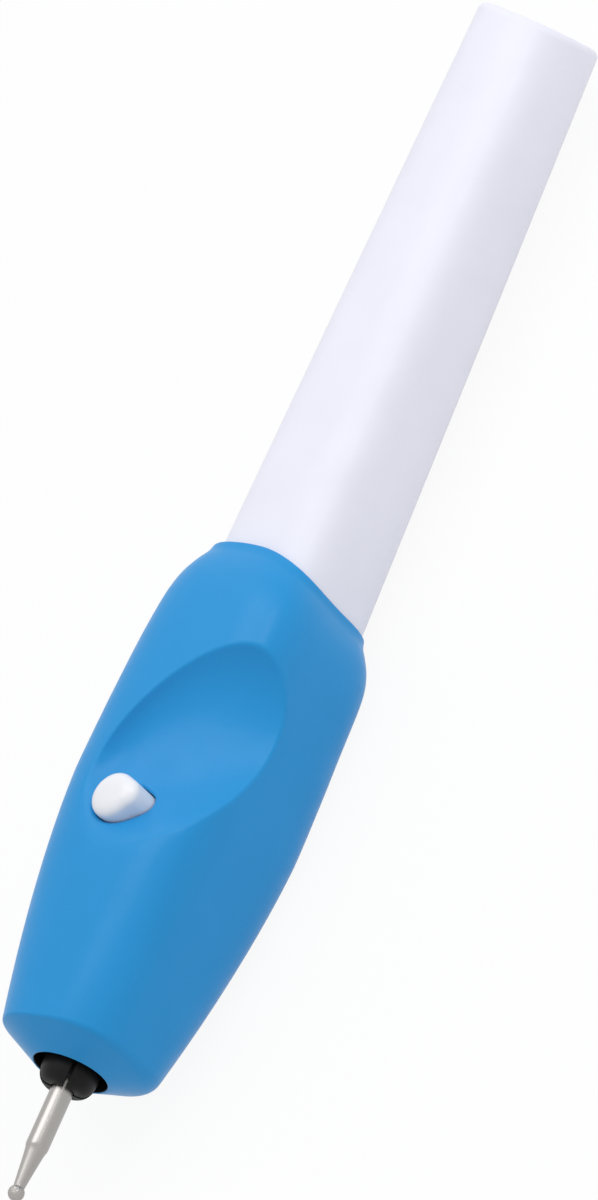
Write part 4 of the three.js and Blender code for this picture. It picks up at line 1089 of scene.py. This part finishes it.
def camera():
    """The photograph's view, from above the ridge between top and side. It stands far enough off
    to be nearly flat, and near enough for the turned views to keep the pen in their depth."""
    c, s = math.cos(VIEW_TILT), math.sin(VIEW_TILT)
    along = np.array([-s * math.cos(VIEW_ROLL), -c * math.cos(VIEW_ROLL), math.sin(VIEW_ROLL)])
    across = np.array([c, -s, 0])
    y, z = rotated(across, np.cross(along, across), -VIEW_SPIN)
    right, up, toward = np.array([along, y, z]).T
    aim = (to_frame([AIM_X, 0, 0]) + (AIM_ACROSS * c - AIM_ALONG * s) * PIXEL * right
           - (AIM_ACROSS * s + AIM_ALONG * c) * PIXEL * up)
    data = bpy.data.cameras.new("camera")
    data.sensor_width = SENSOR
    data.lens = SENSOR * CAMERA_DISTANCE / (FRAME_HEIGHT * PIXEL)
    seat = placed("camera", data)
    turn = Matrix([list(right), list(up), list(toward)]).transposed().to_4x4()
    seat.matrix_world = Matrix.Translation(Vector(aim + CAMERA_DISTANCE * toward)) @ turn
    bpy.context.scene.camera = seat


def lamp(name, place, size, watts):
    """A square soft light that faces the pen."""
    data = bpy.data.lights.new(name, "AREA")
    data.size = size
    data.energy = watts
    seat = placed(name, data)
    seat.location = place
    seat.rotation_euler = (-Vector(place)).to_track_quat("-Z", "Y").to_euler()


def seen_directly(tree):
    """1 for a ray from the camera, or by way of a mirror or glass, and 0 for light that falls on
    things."""
    path = add(tree, "ShaderNodeLightPath").outputs
    seen = path["Is Camera Ray"]
    for other in ("Is Glossy Ray", "Is Transmission Ray"):
        either = add(tree, "ShaderNodeMath", {0: seen, 1: path[other]}, operation="MAXIMUM")
        seen = either.outputs[0]
    return seen


def surroundings():
    """A room of even light and a paper floor, both white to the eye. The floor keeps a little of
    its own shading, so that the pen's shadow shows on it."""
    world = bpy.data.worlds.new("room")
    bpy.context.scene.world = world
    world.use_nodes = True
    tree = world.node_tree
    fill = tree.nodes["Background"]
    fill.inputs["Color"].default_value = ROOM_COLOUR
    fill.inputs["Strength"].default_value = ROOM_STRENGTH
    white = add(tree, "ShaderNodeBackground", {"Color": WHITE, "Strength": 1.0})
    both = add(tree, "ShaderNodeMixShader", {0: seen_directly(tree), 1: fill.outputs[0],
                                             2: white.outputs[0]})
    tree.links.new(both.outputs[0], tree.nodes["World Output"].inputs["Surface"])

    mesh = bpy.data.meshes.new("floor")
    corners = [(x * FLOOR_HALF, y * FLOOR_HALF, 0) for x, y in ((-1, -1), (1, -1), (1, 1), (-1, 1))]
    mesh.from_pydata(corners, [], [(0, 1, 2, 3)])
    floor = placed("floor", mesh)
    paper = bpy.data.materials.new("white_paper_sweep")
    paper.use_nodes = True
    tree = paper.node_tree
    shader = tree.nodes["Principled BSDF"]
    shader.inputs["Base Color"].default_value = PAPER_COLOUR
    shader.inputs["Roughness"].default_value = PAPER_ROUGHNESS
    shader.inputs["Specular IOR Level"].default_value = PAPER_SHEEN
    glow = add(tree, "ShaderNodeEmission", {"Color": WHITE, "Strength": 1.0})
    share = add(tree, "ShaderNodeMath", {0: seen_directly(tree), 1: PAPER_WHITENED},
                operation="MULTIPLY")
    both = add(tree, "ShaderNodeMixShader", {0: share.outputs[0], 1: shader.outputs[0],
                                             2: glow.outputs[0]})
    tree.links.new(both.outputs[0], tree.nodes["Material Output"].inputs["Surface"])
    mesh.materials.append(paper)


camera()
surroundings()
lamp("overhead", (-0.45, -0.1, 1.1), 0.9, 4.8)
lamp("near_key", (-0.3, 0.3, 0.45), 0.2, 0.6)
bpy.context.scene.view_settings.view_transform = "Standard"
